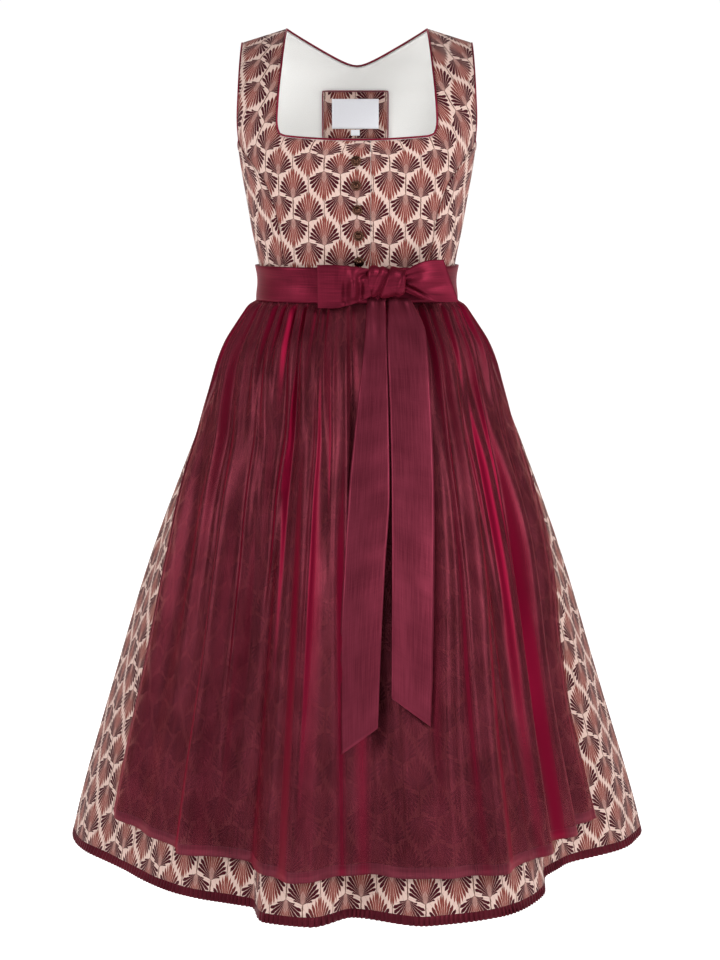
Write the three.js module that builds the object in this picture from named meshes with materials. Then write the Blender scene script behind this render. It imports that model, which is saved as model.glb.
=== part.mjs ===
// Midi dirndl with a gathered satin apron, in the shape that it has when worn.
// Sizes are millimetres. X is the viewer's right (the wearer's left), -Y is the front, +Z is up.
// Heights inside the garment are measured from the waist seam. The outer group is lowered so
// that the origin lies between the shoulder straps, where a wearer carries the dress.
import * as THREE from "three";

// Driving sizes
const SHOULDER_HEIGHT = 316;
const SKIRT_HEM = -657;
const FRILL_HEM = -667;
const HEM_RISE_AT_SIDES = 11;
const APRON_HEM = -616;
const APRON_CORNER_RISE = { right: 12, left: -4 };
const SEAM_GAP = 0.3;
const BODICE_CLOTH = 1.4;
const SKIRT_CLOTH = 1.2;
const APRON_CLOTH = 1;
const LINING_CLOTH = 0.6;
const LINING_GAP = 1.4;
const PIPING_RADIUS = 1.2;
const BUTTON_RADIUS = 5.6;
const PLACKET_EDGE = 16;

// Neckline, shoulders and armholes
const NECK_CENTRE = 188.5;
const NECK_RISE = 4.5;
const NECK_FLAT = 82;
const NECK_CORNER = 13;
const STRAP_START = 197;
const STRAP_TOP = 324;
const STRAP_INNER_TOP = 86;
const STRAP_OUTER_TOP = 137;
const SHOULDER_DROP = 16;
const BACK_V_HEIGHT = 283;
const BACK_V_ROUNDING = 15;
const ARMHOLE_JOIN = 188;
const ARMHOLE_LOW = 178;

// Sections of the fitted body, upwards from the waist seam
const BODY_SECTIONS = [
  { height: 0, half: 116, front: 92, back: 84, roundness: 2.2 },
  { height: 22, half: 114.5, front: 91, back: 83, roundness: 2.2 },
  { height: 48, half: 118.5, front: 93, back: 84, roundness: 2.2 },
  { height: 85, half: 126, front: 100, back: 88, roundness: 2.25 },
  { height: 120, half: 132, front: 109, back: 92, roundness: 2.3 },
  { height: 157, half: 138.5, front: 117, back: 96, roundness: 2.35 },
  { height: 188, half: 143, front: 118, back: 99, roundness: 2.4 },
  { height: 212, half: 148, front: 114, back: 100, roundness: 2.45 },
  { height: 245, half: 154, front: 103, back: 97, roundness: 2.5 },
  { height: 280, half: 157, front: 79, back: 83, roundness: 2.5 },
  { height: 305, half: 158, front: 48, back: 54, roundness: 2.5 },
  { height: 318, half: 158, front: 21, back: 24, roundness: 2.5 },
  { height: 324, half: 158, front: 0.2, back: 0.2, roundness: 2.5 },
];

// Outer edge of the centre panels: the curved bust seam, and the armhole above it
const PANEL_EDGES = [
  { height: 0, front: 84, back: 74 },
  { height: 45, front: 86, back: 78 },
  { height: 95, front: 93, back: 90 },
  { height: 137, front: 106, back: 106 },
  { height: 167, front: 126, back: 124 },
  { height: 188, front: 140, back: 138 },
  { height: 212, front: 141, back: 137 },
  { height: 245, front: 139.5, back: 135.5 },
  { height: 290, front: 138, back: 136 },
  { height: 324, front: 137, back: 137 },
];

const STRAP_INNER = [
  { height: 212, across: 95 },
  { height: 245, across: 93 },
  { height: 285, across: 89.5 },
  { height: 324, across: STRAP_INNER_TOP },
];

// How far the skirt has opened on its way from the waist seam to the hem
const FLARE = [
  { height: 0, open: 0 },
  { height: -14, open: 0.033 },
  { height: -28, open: 0.07 },
  { height: -53, open: 0.137 },
  { height: -77, open: 0.184 },
  { height: -102, open: 0.223 },
  { height: -175, open: 0.345 },
  { height: -321, open: 0.574 },
  { height: -468, open: 0.764 },
  { height: -614, open: 0.945 },
  { height: -667, open: 1 },
];

// Large folds round the hem, as the distance of each ridge and valley from the middle.
// The angle is 0 at the front and positive on the viewer's right.
const HEM_LOBES = [
  { angle: -180, reach: 342 },
  { angle: -163, reach: 306 },
  { angle: -147, reach: 343 },
  { angle: -131, reach: 308 },
  { angle: -115, reach: 338 },
  { angle: -106, reach: 322 },
  { angle: -95, reach: 349 },
  { angle: -83, reach: 341 },
  { angle: -62, reach: 303 },
  { angle: -45, reach: 296 },
  { angle: -25, reach: 281 },
  { angle: -18, reach: 325 },
  { angle: -9, reach: 329 },
  { angle: -1, reach: 291 },
  { angle: 14, reach: 330 },
  { angle: 28, reach: 331 },
  { angle: 43, reach: 306 },
  { angle: 55, reach: 268 },
  { angle: 63, reach: 270 },
  { angle: 81, reach: 331 },
  { angle: 95, reach: 350 },
  { angle: 110, reach: 316 },
  { angle: 126, reach: 343 },
  { angle: 143, reach: 306 },
  { angle: 160, reach: 335 },
  { angle: 170, reach: 312 },
  { angle: 180, reach: 342 },
];

const PLEATS = 28;
const PLEAT_DEPTH = [
  { height: 0, depth: 0.6 },
  { height: -14, depth: 3.2 },
  { height: -60, depth: 5.5 },
  { height: -200, depth: 5 },
  { height: -450, depth: 3.6 },
  { height: -667, depth: 3 },
];
const PLEAT_SHARE_UNDER_APRON = 0.25;

// The apron's side edges as angles from the front, and its distance off the skirt
const APRON_EDGE = [
  { height: 0, right: 102, left: 102, off: 2.6 },
  { height: -14, right: 100, left: 100, off: 6 },
  { height: -60, right: 95, left: 95, off: 7.5 },
  { height: -110, right: 87, left: 88, off: 8 },
  { height: -162, right: 79, left: 83, off: 8 },
  { height: -210, right: 77, left: 81.5, off: 8 },
  { height: -308, right: 71.5, left: 77.5, off: 8 },
  { height: -410, right: 69.5, left: 73, off: 8 },
  { height: -498, right: 69, left: 71.5, off: 8 },
  { height: -616, right: 68, left: 72, off: 8 },
];

// Apron folds. Places across run from -1 at the left edge to 1 at the right one. A fold starts at
// the height from, has its whole depth at full, and loses the share fade of it by the hem.
const APRON_FOLDS = [
  { top: -0.92, hem: -0.94, depth: 9, left: 0.05, right: 0.07, from: -60, full: -330, fade: 0 },
  { top: -0.74, hem: -0.77, depth: 7, left: 0.06, right: 0.05, from: -20, full: -160, fade: 0.6 },
  { top: -0.58, hem: -0.59, depth: 15, left: 0.05, right: 0.09, from: -15, full: -330, fade: 0 },
  { top: -0.4, hem: -0.5, depth: 11, left: 0.05, right: 0.06, from: -10, full: -140, fade: 1 },
  { top: -0.3, hem: -0.33, depth: 9, left: 0.05, right: 0.05, from: -8, full: -230, fade: 0.5 },
  { top: -0.19, hem: -0.18, depth: 14, left: 0.045, right: 0.09, from: -8, full: -360, fade: 0 },
  { top: -0.05, hem: -0.02, depth: 14, left: 0.05, right: 0.07, from: -8, full: -330, fade: 0 },
  { top: 0.12, hem: 0.11, depth: 7, left: 0.05, right: 0.06, from: -8, full: -200, fade: 0.3 },
  { top: 0.34, hem: 0.25, depth: 8, left: 0.05, right: 0.05, from: -8, full: -220, fade: 0.2 },
  { top: 0.46, hem: 0.39, depth: 14, left: 0.08, right: 0.05, from: -10, full: -300, fade: 0 },
  { top: 0.61, hem: 0.6, depth: 12, left: 0.06, right: 0.08, from: -10, full: -200, fade: 0 },
  { top: 0.73, hem: 0.79, depth: 26, left: 0.1, right: 0.1, from: -20, full: -300, fade: 0 },
  { top: 0.9, hem: 0.94, depth: 8, left: 0.06, right: 0.05, from: -60, full: -330, fade: 0 },
];
const APRON_GATHERS = 29;
const GATHER_DEPTH = [
  { height: 0, depth: 0.5 },
  { height: -10, depth: 1.9 },
  { height: -45, depth: 1.6 },
  { height: -130, depth: 0.5 },
  { height: -240, depth: 0 },
  { height: -616, depth: 0 },
];

// Rows of the cloth walls
const BODICE_ROWS = [0, 23, 45, 70, 95, 120, 144, 167, 188, STRAP_START];
const STRAP_ROWS = [222, 245, 268, 289, 305, 315, 321, 324];
const SKIRT_ROWS = [-1, -10, -28, -55, -100, -175, -265, -380, -510, SKIRT_HEM];
const APRON_ROWS = [-0.5, -8, -22, -48, -90, -150, -220, -300, -380, -460, -540, -600, -616];

// Small functions
const DEGREE = Math.PI / 180;
const lerp = (from, to, share) => from + (to - from) * share;
const clamp = (value, low = 0, high = 1) => Math.min(high, Math.max(low, value));
const smooth = (value) => clamp(value) ** 2 * (3 - 2 * clamp(value));
const steps = (from, to, count) => Array.from({ length: count + 1 }, (_, i) => lerp(from, to, i / count));
const mirrored = (sheet) => sheet.map((row) => [...row].reverse());

// Reads one column of a table at a place along its key, on a curve that never overshoots a row.
function read(table, key, place, column) {
  const way = Math.sign(table[1][key] - table[0][key]);
  const slopeBetween = (i) => (table[i + 1][column] - table[i][column]) / (table[i + 1][key] - table[i][key]);
  const slopeAt = (i) => {
    if (i === 0) return slopeBetween(0);
    if (i === table.length - 1) return slopeBetween(i - 1);
    const [before, after] = [slopeBetween(i - 1), slopeBetween(i)];
    return before * after <= 0 ? 0 : (2 * before * after) / (before + after);
  };
  let i = 0;
  while (i < table.length - 2 && (place - table[i + 1][key]) * way > 0) i += 1;
  const width = table[i + 1][key] - table[i][key];
  const t = clamp((place - table[i][key]) / width);
  return (
    table[i][column] * (2 * t ** 3 - 3 * t ** 2 + 1) +
    table[i + 1][column] * (3 * t ** 2 - 2 * t ** 3) +
    slopeAt(i) * width * (t ** 3 - 2 * t ** 2 + t) +
    slopeAt(i + 1) * width * (t ** 3 - t ** 2)
  );
}

// Fitted body
function bodySection(height, out) {
  return {
    half: read(BODY_SECTIONS, "height", height, "half") + out,
    front: read(BODY_SECTIONS, "height", height, "front") + out,
    back: read(BODY_SECTIONS, "height", height, "back") + out,
    roundness: read(BODY_SECTIONS, "height", height, "roundness"),
  };
}

function bodyAtAngle(degrees, height, out = 0) {
  const { half, front, back, roundness } = bodySection(height, out);
  const sine = Math.sin(degrees * DEGREE);
  const cosine = Math.cos(degrees * DEGREE);
  const power = 2 / roundness;
  return new THREE.Vector3(
    half * Math.sign(sine) * Math.abs(sine) ** power,
    -(cosine > 0 ? front : back) * Math.sign(cosine) * Math.abs(cosine) ** power,
    height,
  );
}

function shoulderDrop(across, height) {
  const outwards = clamp((Math.abs(across) - STRAP_INNER_TOP) / (STRAP_OUTER_TOP - STRAP_INNER_TOP));
  return SHOULDER_DROP * outwards * smooth((height - STRAP_START) / (STRAP_TOP - STRAP_START));
}

// A point at a distance across the body, on its front (side -1) or back (side 1)
function bodyAtWidth(across, height, side, out = 0) {
  const { half, front, back, roundness } = bodySection(height, out);
  const depth = side < 0 ? front : back;
  const left = Math.max(0, 1 - (Math.abs(across) / half) ** roundness);
  return new THREE.Vector3(across, side * depth * left ** (1 / roundness), height - shoulderDrop(across, height));
}

const panelEdge = (height, face) => read(PANEL_EDGES, "height", height, face);
const strapInner = (height) => read(STRAP_INNER, "height", height, "across");

function angleOfWidth(across, height) {
  const { half, roundness } = bodySection(height, 0);
  return Math.asin(clamp(Math.abs(across) / half) ** (roundness / 2)) / DEGREE;
}

// Skirt
function skirtPleat(degrees, height) {
  const phase = PLEATS * degrees + 14 * Math.sin(3 * degrees * DEGREE);
  const uneven = 0.8 + 0.2 * Math.sin(5 * degrees * DEGREE + 1);
  const besideApron = smooth((Math.abs(degrees) - 78) / 26);
  const share = lerp(PLEAT_SHARE_UNDER_APRON, 1, besideApron) * uneven;
  return read(PLEAT_DEPTH, "height", height, "depth") * Math.cos(phase * DEGREE) * share;
}

// A point of the skirt's large form, moved out from it. Angles past 180 come round to the front.
function skirtPoint(turn, height, out) {
  const degrees = turn > 180 ? turn - 360 : turn;
  const waist = bodyAtAngle(degrees, 0);
  const reach = read(HEM_LOBES, "angle", degrees, "reach");
  const open = read(FLARE, "height", height, "open");
  const x = lerp(waist.x, reach * Math.sin(degrees * DEGREE), open);
  const y = lerp(waist.y, -reach * Math.cos(degrees * DEGREE), open);
  const grown = 1 + out / Math.hypot(x, y);
  const risen = HEM_RISE_AT_SIDES * Math.sin(degrees * DEGREE) ** 4 * (height / SKIRT_HEM) ** 2;
  return new THREE.Vector3(x * grown, y * grown, height + risen);
}

// Apron
function apronFold(across, height) {
  return APRON_FOLDS.reduce((depth, fold) => {
    const grown = smooth((height - fold.from) / (fold.full - fold.from));
    const kept = 1 - fold.fade * smooth((height - fold.full) / (APRON_HEM - fold.full));
    const away = across - lerp(fold.top, fold.hem, height / APRON_HEM);
    const width = away < 0 ? fold.left : fold.right;
    return depth + fold.depth * grown * kept * Math.exp(-((away / width) ** 2));
  }, 0);
}

function apronPoint(across, height) {
  const hand = across < 0 ? "right" : "left";
  const degrees = across * read(APRON_EDGE, "height", height, hand);
  const gather = read(GATHER_DEPTH, "height", height, "depth") * Math.cos(APRON_GATHERS * Math.PI * across);
  const off = read(APRON_EDGE, "height", height, "off");
  const risen = height + APRON_CORNER_RISE[hand] * across ** 4 * (height / APRON_HEM) ** 4;
  return skirtPoint(degrees, risen, off + gather + apronFold(across, height));
}

// Cloth walls
// A sheet is rows of points from the bottom up, each from left to right as seen from outside.
// Where a sheet is cut away its points are null.
const hasPoint = (sheet, r, c) => Boolean(sheet[r]?.[c]);

function hasSquare(sheet, r, c) {
  return [[r, c], [r, c + 1], [r + 1, c + 1], [r + 1, c]].every(([i, j]) => hasPoint(sheet, i, j));
}

function squares(sheet) {
  return sheet.flatMap((row, r) => row.map((_, c) => [r, c])).filter(([r, c]) => hasSquare(sheet, r, c));
}

function sheetNormals(sheet) {
  const normals = sheet.map((row) => row.map((point) => point && new THREE.Vector3()));
  for (const [r, c] of squares(sheet)) {
    const rising = sheet[r + 1][c + 1].clone().sub(sheet[r][c]);
    const falling = sheet[r][c + 1].clone().sub(sheet[r + 1][c]);
    const normal = falling.cross(rising);
    for (const [i, j] of [[r, c], [r, c + 1], [r + 1, c + 1], [r + 1, c]]) normals[i][j].add(normal);
  }
  return normals.map((row) => row.map((normal) => normal && normal.normalize()));
}

function movedOut(sheet, distance) {
  const normals = sheetNormals(sheet);
  return sheet.map((row, r) =>
    row.map((point, c) => point && point.clone().addScaledVector(normals[r][c], distance)),
  );
}

function indexed(positions, faces) {
  return new THREE.BufferGeometry()
    .setAttribute("position", new THREE.Float32BufferAttribute(positions, 3))
    .setIndex(faces);
}

function quad(a, b, c, d) {
  return [a, b, c, a, c, d];
}

// The closed solid between a sheet and the same sheet moved out by the cloth's thickness
function clothWall(sheet, thickness) {
  const outside = movedOut(sheet, thickness);
  const positions = [];
  const numbers = sheet.map((row, r) =>
    row.map((point, c) => {
      if (!point) return null;
      positions.push(...point.toArray(), ...outside[r][c].toArray());
      return positions.length / 6 - 1;
    }),
  );
  const inner = ([r, c]) => numbers[r][c] * 2;
  const outer = ([r, c]) => numbers[r][c] * 2 + 1;
  const faces = squares(sheet).flatMap(([r, c]) => {
    const corners = [[r, c], [r, c + 1], [r + 1, c + 1], [r + 1, c]];
    const [a, b, d, e] = corners;
    const beside = [[r - 1, c], [r, c + 1], [r + 1, c], [r, c - 1]];
    const edges = beside.flatMap(([i, j], side) => {
      const [from, to] = [corners[side], corners[(side + 1) % 4]];
      return hasSquare(sheet, i, j) ? [] : quad(inner(from), inner(to), outer(to), outer(from));
    });
    return [...quad(...corners.map(outer)), ...quad(...[a, e, d, b].map(inner)), ...edges];
  });
  return indexed(positions, faces);
}

// Places along the cut edge of a sheet: the middle of the cloth and its outward direction
function edgePlaces(sheet, thickness, squaresOfEdge) {
  const normals = sheetNormals(sheet);
  return squaresOfEdge.map(([r, c]) => {
    const out = normals[r][c];
    return { at: sheet[r][c].clone().addScaledVector(out, thickness / 2), out };
  });
}

// A closed square cord round an opening. Seen from outside, the cloth is below the way of travel
// from left to right, and the cord lies above it.
function cordRound(places, radius) {
  const positions = places.flatMap(({ at, out }, i) => {
    const arriving = at.clone().sub(places.at(i - 1).at).normalize();
    const leaving = places[(i + 1) % places.length].at.clone().sub(at).normalize();
    const tangent = arriving.add(leaving).normalize();
    const away = out.clone().cross(tangent).normalize();
    const mitre = 1 / Math.max(0.6, tangent.dot(leaving));
    return [[0, -1], [2, -1], [2, 1], [0, 1]].flatMap(([past, side]) => {
      const corner = at.clone().addScaledVector(away, (SEAM_GAP + past * radius) * mitre);
      return corner.addScaledVector(out, side * radius).toArray();
    });
  });
  const faces = places.flatMap((_, i) => {
    const next = (i + 1) % places.length;
    return [0, 1, 2, 3].flatMap((k) => {
      const other = (k + 1) % 4;
      return quad(i * 4 + k, i * 4 + other, next * 4 + other, next * 4 + k);
    });
  });
  return indexed(positions, faces);
}

// Materials
const cloth = (color, roughness) => new THREE.MeshStandardMaterial({ color, roughness, metalness: 0 });
const PRINT = cloth(0xb08a82, 0.85);
const LINING = cloth(0xe6e5e1, 0.9);
const SATIN = cloth(0x7a2434, 0.45);
const SHEER_SATIN = cloth(0x6c2130, 0.5);
const PIPING = cloth(0x4a1722, 0.6);
const LABEL = cloth(0xdfe0e8, 0.6);
const METAL = new THREE.MeshStandardMaterial({ color: 0x4a342c, roughness: 0.35, metalness: 0.9 });

const dress = new THREE.Group();
dress.position.z = -SHOULDER_HEIGHT;

function addPiece(name, geometry, material) {
  const mesh = new THREE.Mesh(geometry, material);
  mesh.name = name;
  dress.add(mesh);
  return mesh;
}

// Bodice fronts
// Each is a body panel and its strap, cut in one. They meet at the edge of the button band.
const FRONT_COLUMNS = 6;
const STRAP_COLUMNS = 4;
const FIRST_STRAP_COLUMN = FRONT_COLUMNS + 1;
const LAST_FRONT_COLUMN = FIRST_STRAP_COLUMN + STRAP_COLUMNS;
const ARMHOLE_ROW = BODICE_ROWS.indexOf(ARMHOLE_JOIN);

function neckHeight(across) {
  return NECK_CENTRE + NECK_RISE * (across / NECK_FLAT) ** 2;
}

// The top row of the body part: along the neckline, round its corner, then level across the strap
function neckRow(start) {
  const corner = { across: NECK_FLAT + NECK_CORNER * 0.7, height: neckHeight(NECK_FLAT) + NECK_CORNER * 0.28 };
  const neck = steps(start, NECK_FLAT, FRONT_COLUMNS).map((across) => ({ across, height: neckHeight(across) }));
  const strap = steps(corner.across, panelEdge(STRAP_START, "front"), STRAP_COLUMNS).slice(1);
  return [...neck, corner, ...strap.map((across) => ({ across, height: STRAP_START }))];
}

function frontSheet(side) {
  const start = side * PLACKET_EDGE + SEAM_GAP / 2;
  const top = neckRow(start);
  const topWidth = panelEdge(STRAP_START, "front") - start;
  const body = BODICE_ROWS.map((level) =>
    top.map(({ across, height: topHeight }) => {
      const height = (level * topHeight) / STRAP_START;
      const edge = panelEdge(height, "front") - SEAM_GAP / 2;
      return bodyAtWidth(side * lerp(start, edge, (across - start) / topWidth), height, -1);
    }),
  );
  const strap = STRAP_ROWS.map((height) =>
    top.map((_, c) => {
      const share = (c - FIRST_STRAP_COLUMN) / STRAP_COLUMNS;
      const edge = panelEdge(height, "front") - SEAM_GAP / 2;
      return share < 0 ? null : bodyAtWidth(side * lerp(strapInner(height), edge, share), height, -1);
    }),
  );
  return [...body, ...strap];
}

const frontLeft = frontSheet(1);
const frontRight = frontSheet(-1);
addPiece("bodice_front_left", clothWall(frontLeft, BODICE_CLOTH), PRINT);
addPiece("bodice_front_right", clothWall(mirrored(frontRight), BODICE_CLOTH), PRINT);

// Bodice sides
// One panel runs from the bust seam to the side seam, and one from the side seam to the back seam.
const SIDE_COLUMNS = 5;

function sideSheet(face) {
  const levels = BODICE_ROWS.slice(0, ARMHOLE_ROW + 1);
  const faceSign = face === "front" ? -1 : 1;
  return levels.map((level) => {
    const seamAngle = angleOfWidth(panelEdge(level, face) + SEAM_GAP / 2, level);
    return steps(0, 1, SIDE_COLUMNS).map((share) => {
      const height = level * lerp(1, ARMHOLE_LOW / ARMHOLE_JOIN, smooth(share));
      const angle = lerp(seamAngle, 90, share);
      const point = bodyAtAngle(face === "front" ? angle : 180 - angle, height);
      if (share === 1) point.y = (faceSign * SEAM_GAP) / 2;
      return point;
    });
  });
}

const otherSide = (sheet) => sheet.map((row) => row.map((p) => p && new THREE.Vector3(-p.x, p.y, p.z)));
const sideFront = sideSheet("front");
const sideBack = sideSheet("back");
addPiece("bodice_side_front_left", clothWall(sideFront, BODICE_CLOTH), PRINT);
addPiece("bodice_side_front_right", clothWall(mirrored(otherSide(sideFront)), BODICE_CLOTH), PRINT);
addPiece("bodice_side_back_left", clothWall(mirrored(sideBack), BODICE_CLOTH), PRINT);
addPiece("bodice_side_back_right", clothWall(otherSide(sideBack), BODICE_CLOTH), PRINT);

// Bodice back
// A height is a rise: 0 at the waist, 1 at the foot of the armhole and 2 at the top edge.
const BACK_COLUMNS = 16;
const BACK_RISES = [0, 0.12, 0.24, 0.37, 0.51, 0.64, 0.77, 0.89, 1, 1.14, 1.32, 1.5, 1.67, 1.81, 1.91, 1.97, 2];
const BACK_ARMHOLE_ROW = BACK_RISES.indexOf(1);

function backTop(across) {
  const bend = (width) => Math.hypot(width, BACK_V_ROUNDING) - BACK_V_ROUNDING;
  const share = bend(Math.min(Math.abs(across), STRAP_INNER_TOP)) / bend(STRAP_INNER_TOP);
  return lerp(BACK_V_HEIGHT, STRAP_TOP, share);
}

function backPoint(share, rise) {
  const top = backTop(share * STRAP_OUTER_TOP);
  const height = rise <= 1 ? rise * ARMHOLE_JOIN : lerp(ARMHOLE_JOIN, top, rise - 1);
  return bodyAtWidth(share * (panelEdge(height, "back") - SEAM_GAP / 2), height, 1);
}

const backSheet = BACK_RISES.map((rise) => steps(1, -1, BACK_COLUMNS).map((share) => backPoint(share, rise)));
addPiece("bodice_back", clothWall(backSheet, BODICE_CLOTH), PRINT);

// Lining inside the back, with the label patch, the label and the size tab on it
const LINING_HEM = 0.3;
const LAST_BACK_ROW = BACK_RISES.length - 1;
const lined = movedOut(backSheet, -LINING_GAP - LINING_CLOTH);
const liningTop = lined[LAST_BACK_ROW].map((point, c) => point.clone().lerp(lined[LAST_BACK_ROW - 1][c], 0.5));
const liningSheet = [...lined.slice(0, -1), liningTop].map((row) => [
  row[0].clone().lerp(row[1], LINING_HEM),
  ...row.slice(1, -1),
  row.at(-1).clone().lerp(row.at(-2), LINING_HEM),
]);
addPiece("back_lining", clothWall(liningSheet, LINING_CLOTH), LINING);

const PATCH_CLOTH = 0.9;
const LABEL_CLOTH = 0.6;
const LABEL_FACET = 15;
const LABEL_MIDDLE = -2;

// A flat piece on the inside of the back: its middle height, size, and depth in from the body
function insideBack(height, wide, tall, depth) {
  const rows = Math.ceil(tall / LABEL_FACET);
  const sheet = steps(height - tall / 2, height + tall / 2, rows).map((level) =>
    steps(wide / 2, -wide / 2, 4).map((across) => bodyAtWidth(LABEL_MIDDLE + across, level, 1)),
  );
  return movedOut(sheet, -depth);
}

const patchSheet = insideBack(224.5, 80, 59, 4.8);
addPiece("label_patch", clothWall(patchSheet, PATCH_CLOTH), PRINT);
addPiece("label", clothWall(insideBack(226, 59, 38, 6), LABEL_CLOTH), LABEL);
addPiece("size_tab", clothWall(insideBack(202, 11, 7.5, 6), LABEL_CLOTH), LABEL);

// Piping round the neckline and the armholes
const columnsFrom = (row, from, to) =>
  Array.from({ length: Math.abs(to - from) + 1 }, (_, i) => [row, from + Math.sign(to - from) * i]);
const rowsFrom = (column, from, to) => columnsFrom(column, from, to).map(([c, r]) => [r, c]);

const patchTop = patchSheet.length - 1;
const patchRim = edgePlaces(patchSheet, PATCH_CLOTH, [
  ...columnsFrom(patchTop, 0, 4),
  ...rowsFrom(4, patchTop - 1, 0),
  ...columnsFrom(0, 3, 0),
  ...rowsFrom(0, 1, patchTop - 1),
]);
addPiece("label_piping", cordRound(patchRim, 0.8), PIPING);

const TOP_BODY_ROW = BODICE_ROWS.length - 1;
const TOP_ROW = frontLeft.length - 1;

const frontNeckRim = (sheet) =>
  edgePlaces(sheet, BODICE_CLOTH, [
    ...columnsFrom(TOP_BODY_ROW, 0, FIRST_STRAP_COLUMN),
    ...rowsFrom(FIRST_STRAP_COLUMN, TOP_BODY_ROW + 1, TOP_ROW),
  ]);
const mirroredPlaces = (places) =>
  places.map(({ at, out }) => ({
    at: new THREE.Vector3(-at.x, at.y, at.z),
    out: new THREE.Vector3(-out.x, out.y, out.z),
  }));
const neckRim = [
  ...mirroredPlaces(frontNeckRim(otherSide(frontRight))).reverse(),
  ...frontNeckRim(frontLeft).slice(1),
  ...edgePlaces(backSheet, BODICE_CLOTH, columnsFrom(LAST_BACK_ROW, 3, BACK_COLUMNS - 3)),
];
addPiece("piping_neck", cordRound(neckRim, PIPING_RADIUS), PIPING);

const armholeRim = [
  ...edgePlaces(frontLeft, BODICE_CLOTH, rowsFrom(LAST_FRONT_COLUMN, TOP_ROW, ARMHOLE_ROW + 1)),
  ...edgePlaces(sideFront, BODICE_CLOTH, columnsFrom(ARMHOLE_ROW, 0, SIDE_COLUMNS)),
  ...edgePlaces(mirrored(sideBack), BODICE_CLOTH, columnsFrom(ARMHOLE_ROW, 1, SIDE_COLUMNS)),
  ...edgePlaces(backSheet, BODICE_CLOTH, rowsFrom(0, BACK_ARMHOLE_ROW + 1, LAST_BACK_ROW - 1)),
];
addPiece("piping_armhole_left", cordRound(armholeRim, PIPING_RADIUS), PIPING);
addPiece("piping_armhole_right", cordRound(mirroredPlaces(armholeRim).reverse(), PIPING_RADIUS), PIPING);

// Buttons: a domed head on a flat rim
const BUTTONS = [
  { height: 165.5, across: -1 },
  { height: 137.5, across: -1 },
  { height: 109, across: 0.5 },
  { height: 78.5, across: 2 },
  { height: 48, across: 2.5 },
];
const BUTTON_SEAT = 0.9;
const BUTTON_RIM = 1;
const BUTTON_DOME = 4;

function buttonGeometry() {
  const dome = [0, 30, 60].map(
    (turn) => new THREE.Vector2(BUTTON_DOME * Math.cos(turn * DEGREE), BUTTON_RIM + BUTTON_DOME * Math.sin(turn * DEGREE)),
  );
  const rim = [new THREE.Vector2(0, 0), new THREE.Vector2(BUTTON_RADIUS, 0), new THREE.Vector2(BUTTON_RADIUS, BUTTON_RIM)];
  return new THREE.LatheGeometry([...rim, ...dome, new THREE.Vector2(0, BUTTON_RIM + BUTTON_DOME)], 12);
}

BUTTONS.forEach(({ height, across }, i) => {
  const below = bodyAtWidth(across, height - 10, -1);
  const above = bodyAtWidth(across, height + 10, -1);
  const outwards = new THREE.Vector3(1, 0, 0).cross(above.sub(below)).normalize();
  const button = addPiece(`button_${i + 1}`, buttonGeometry(), METAL);
  button.position.copy(bodyAtWidth(across, height, -1)).addScaledVector(outwards, BODICE_CLOTH + BUTTON_SEAT);
  button.quaternion.setFromUnitVectors(new THREE.Vector3(0, 1, 0), outwards);
});

// Skirt panels and the gathered frill below them
const SKIRT_PANELS = [
  { name: "front", from: -90, to: 90 },
  { name: "back_left", from: 90, to: 180 },
  { name: "back_right", from: 180, to: 270 },
];
const DEGREES_PER_COLUMN = 3.2142857;
const FRILL_HALF_WAVE = 1.8;
const FRILL_WAVE_DEPTH = 2.2;
const SEAM_ANGLE_AT_WAIST = 0.11;
const SEAM_ANGLE_AT_HEM = 0.04;
const FRILL_SEAM_ANGLE = 0.1;

for (const { name, from, to } of SKIRT_PANELS) {
  const columns = Math.round((to - from) / DEGREES_PER_COLUMN);
  const panel = [...SKIRT_ROWS].reverse().map((height) => {
    const seam = lerp(SEAM_ANGLE_AT_WAIST, SEAM_ANGLE_AT_HEM, read(FLARE, "height", height, "open"));
    return steps(from + seam, to - seam, columns).map((turn) =>
      skirtPoint(turn, height, skirtPleat(turn, height)),
    );
  });
  addPiece(`skirt_${name}`, clothWall(panel, SKIRT_CLOTH), PRINT);

  const halfWaves = (to - from) / FRILL_HALF_WAVE;
  const frill = [FRILL_HEM, SKIRT_HEM - SEAM_GAP].map((height, row) =>
    steps(from + FRILL_SEAM_ANGLE, to - FRILL_SEAM_ANGLE, halfWaves).map((turn, c) => {
      const wave = FRILL_WAVE_DEPTH * (c % 2 ? 1 : -1) * (row === 0 ? 1 : 0.4);
      return skirtPoint(turn, height, wave);
    }),
  );
  addPiece(`frill_${name}`, clothWall(frill, SKIRT_CLOTH), SATIN);
}

// Apron
const APRON_COLUMNS = 58;
const apronSheet = [...APRON_ROWS].reverse().map((height) =>
  steps(-1, 1, APRON_COLUMNS).map((across) => apronPoint(across, height)),
);
addPiece("apron", clothWall(apronSheet, APRON_CLOTH), SHEER_SATIN);

// Apron band, and the ties that cross behind and come forward over it
const BAND_LOW = 0.6;
const BAND_HIGH = 39;
const BAND_END = 101;
const BAND_OFF = 2.4;
const bandSheet = [BAND_LOW, BAND_HIGH].map((height) =>
  steps(-BAND_END, BAND_END, 30).map((degrees) => bodyAtAngle(degrees, height, BAND_OFF)),
);
addPiece("apron_band", clothWall(bandSheet, APRON_CLOTH), SATIN);

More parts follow.
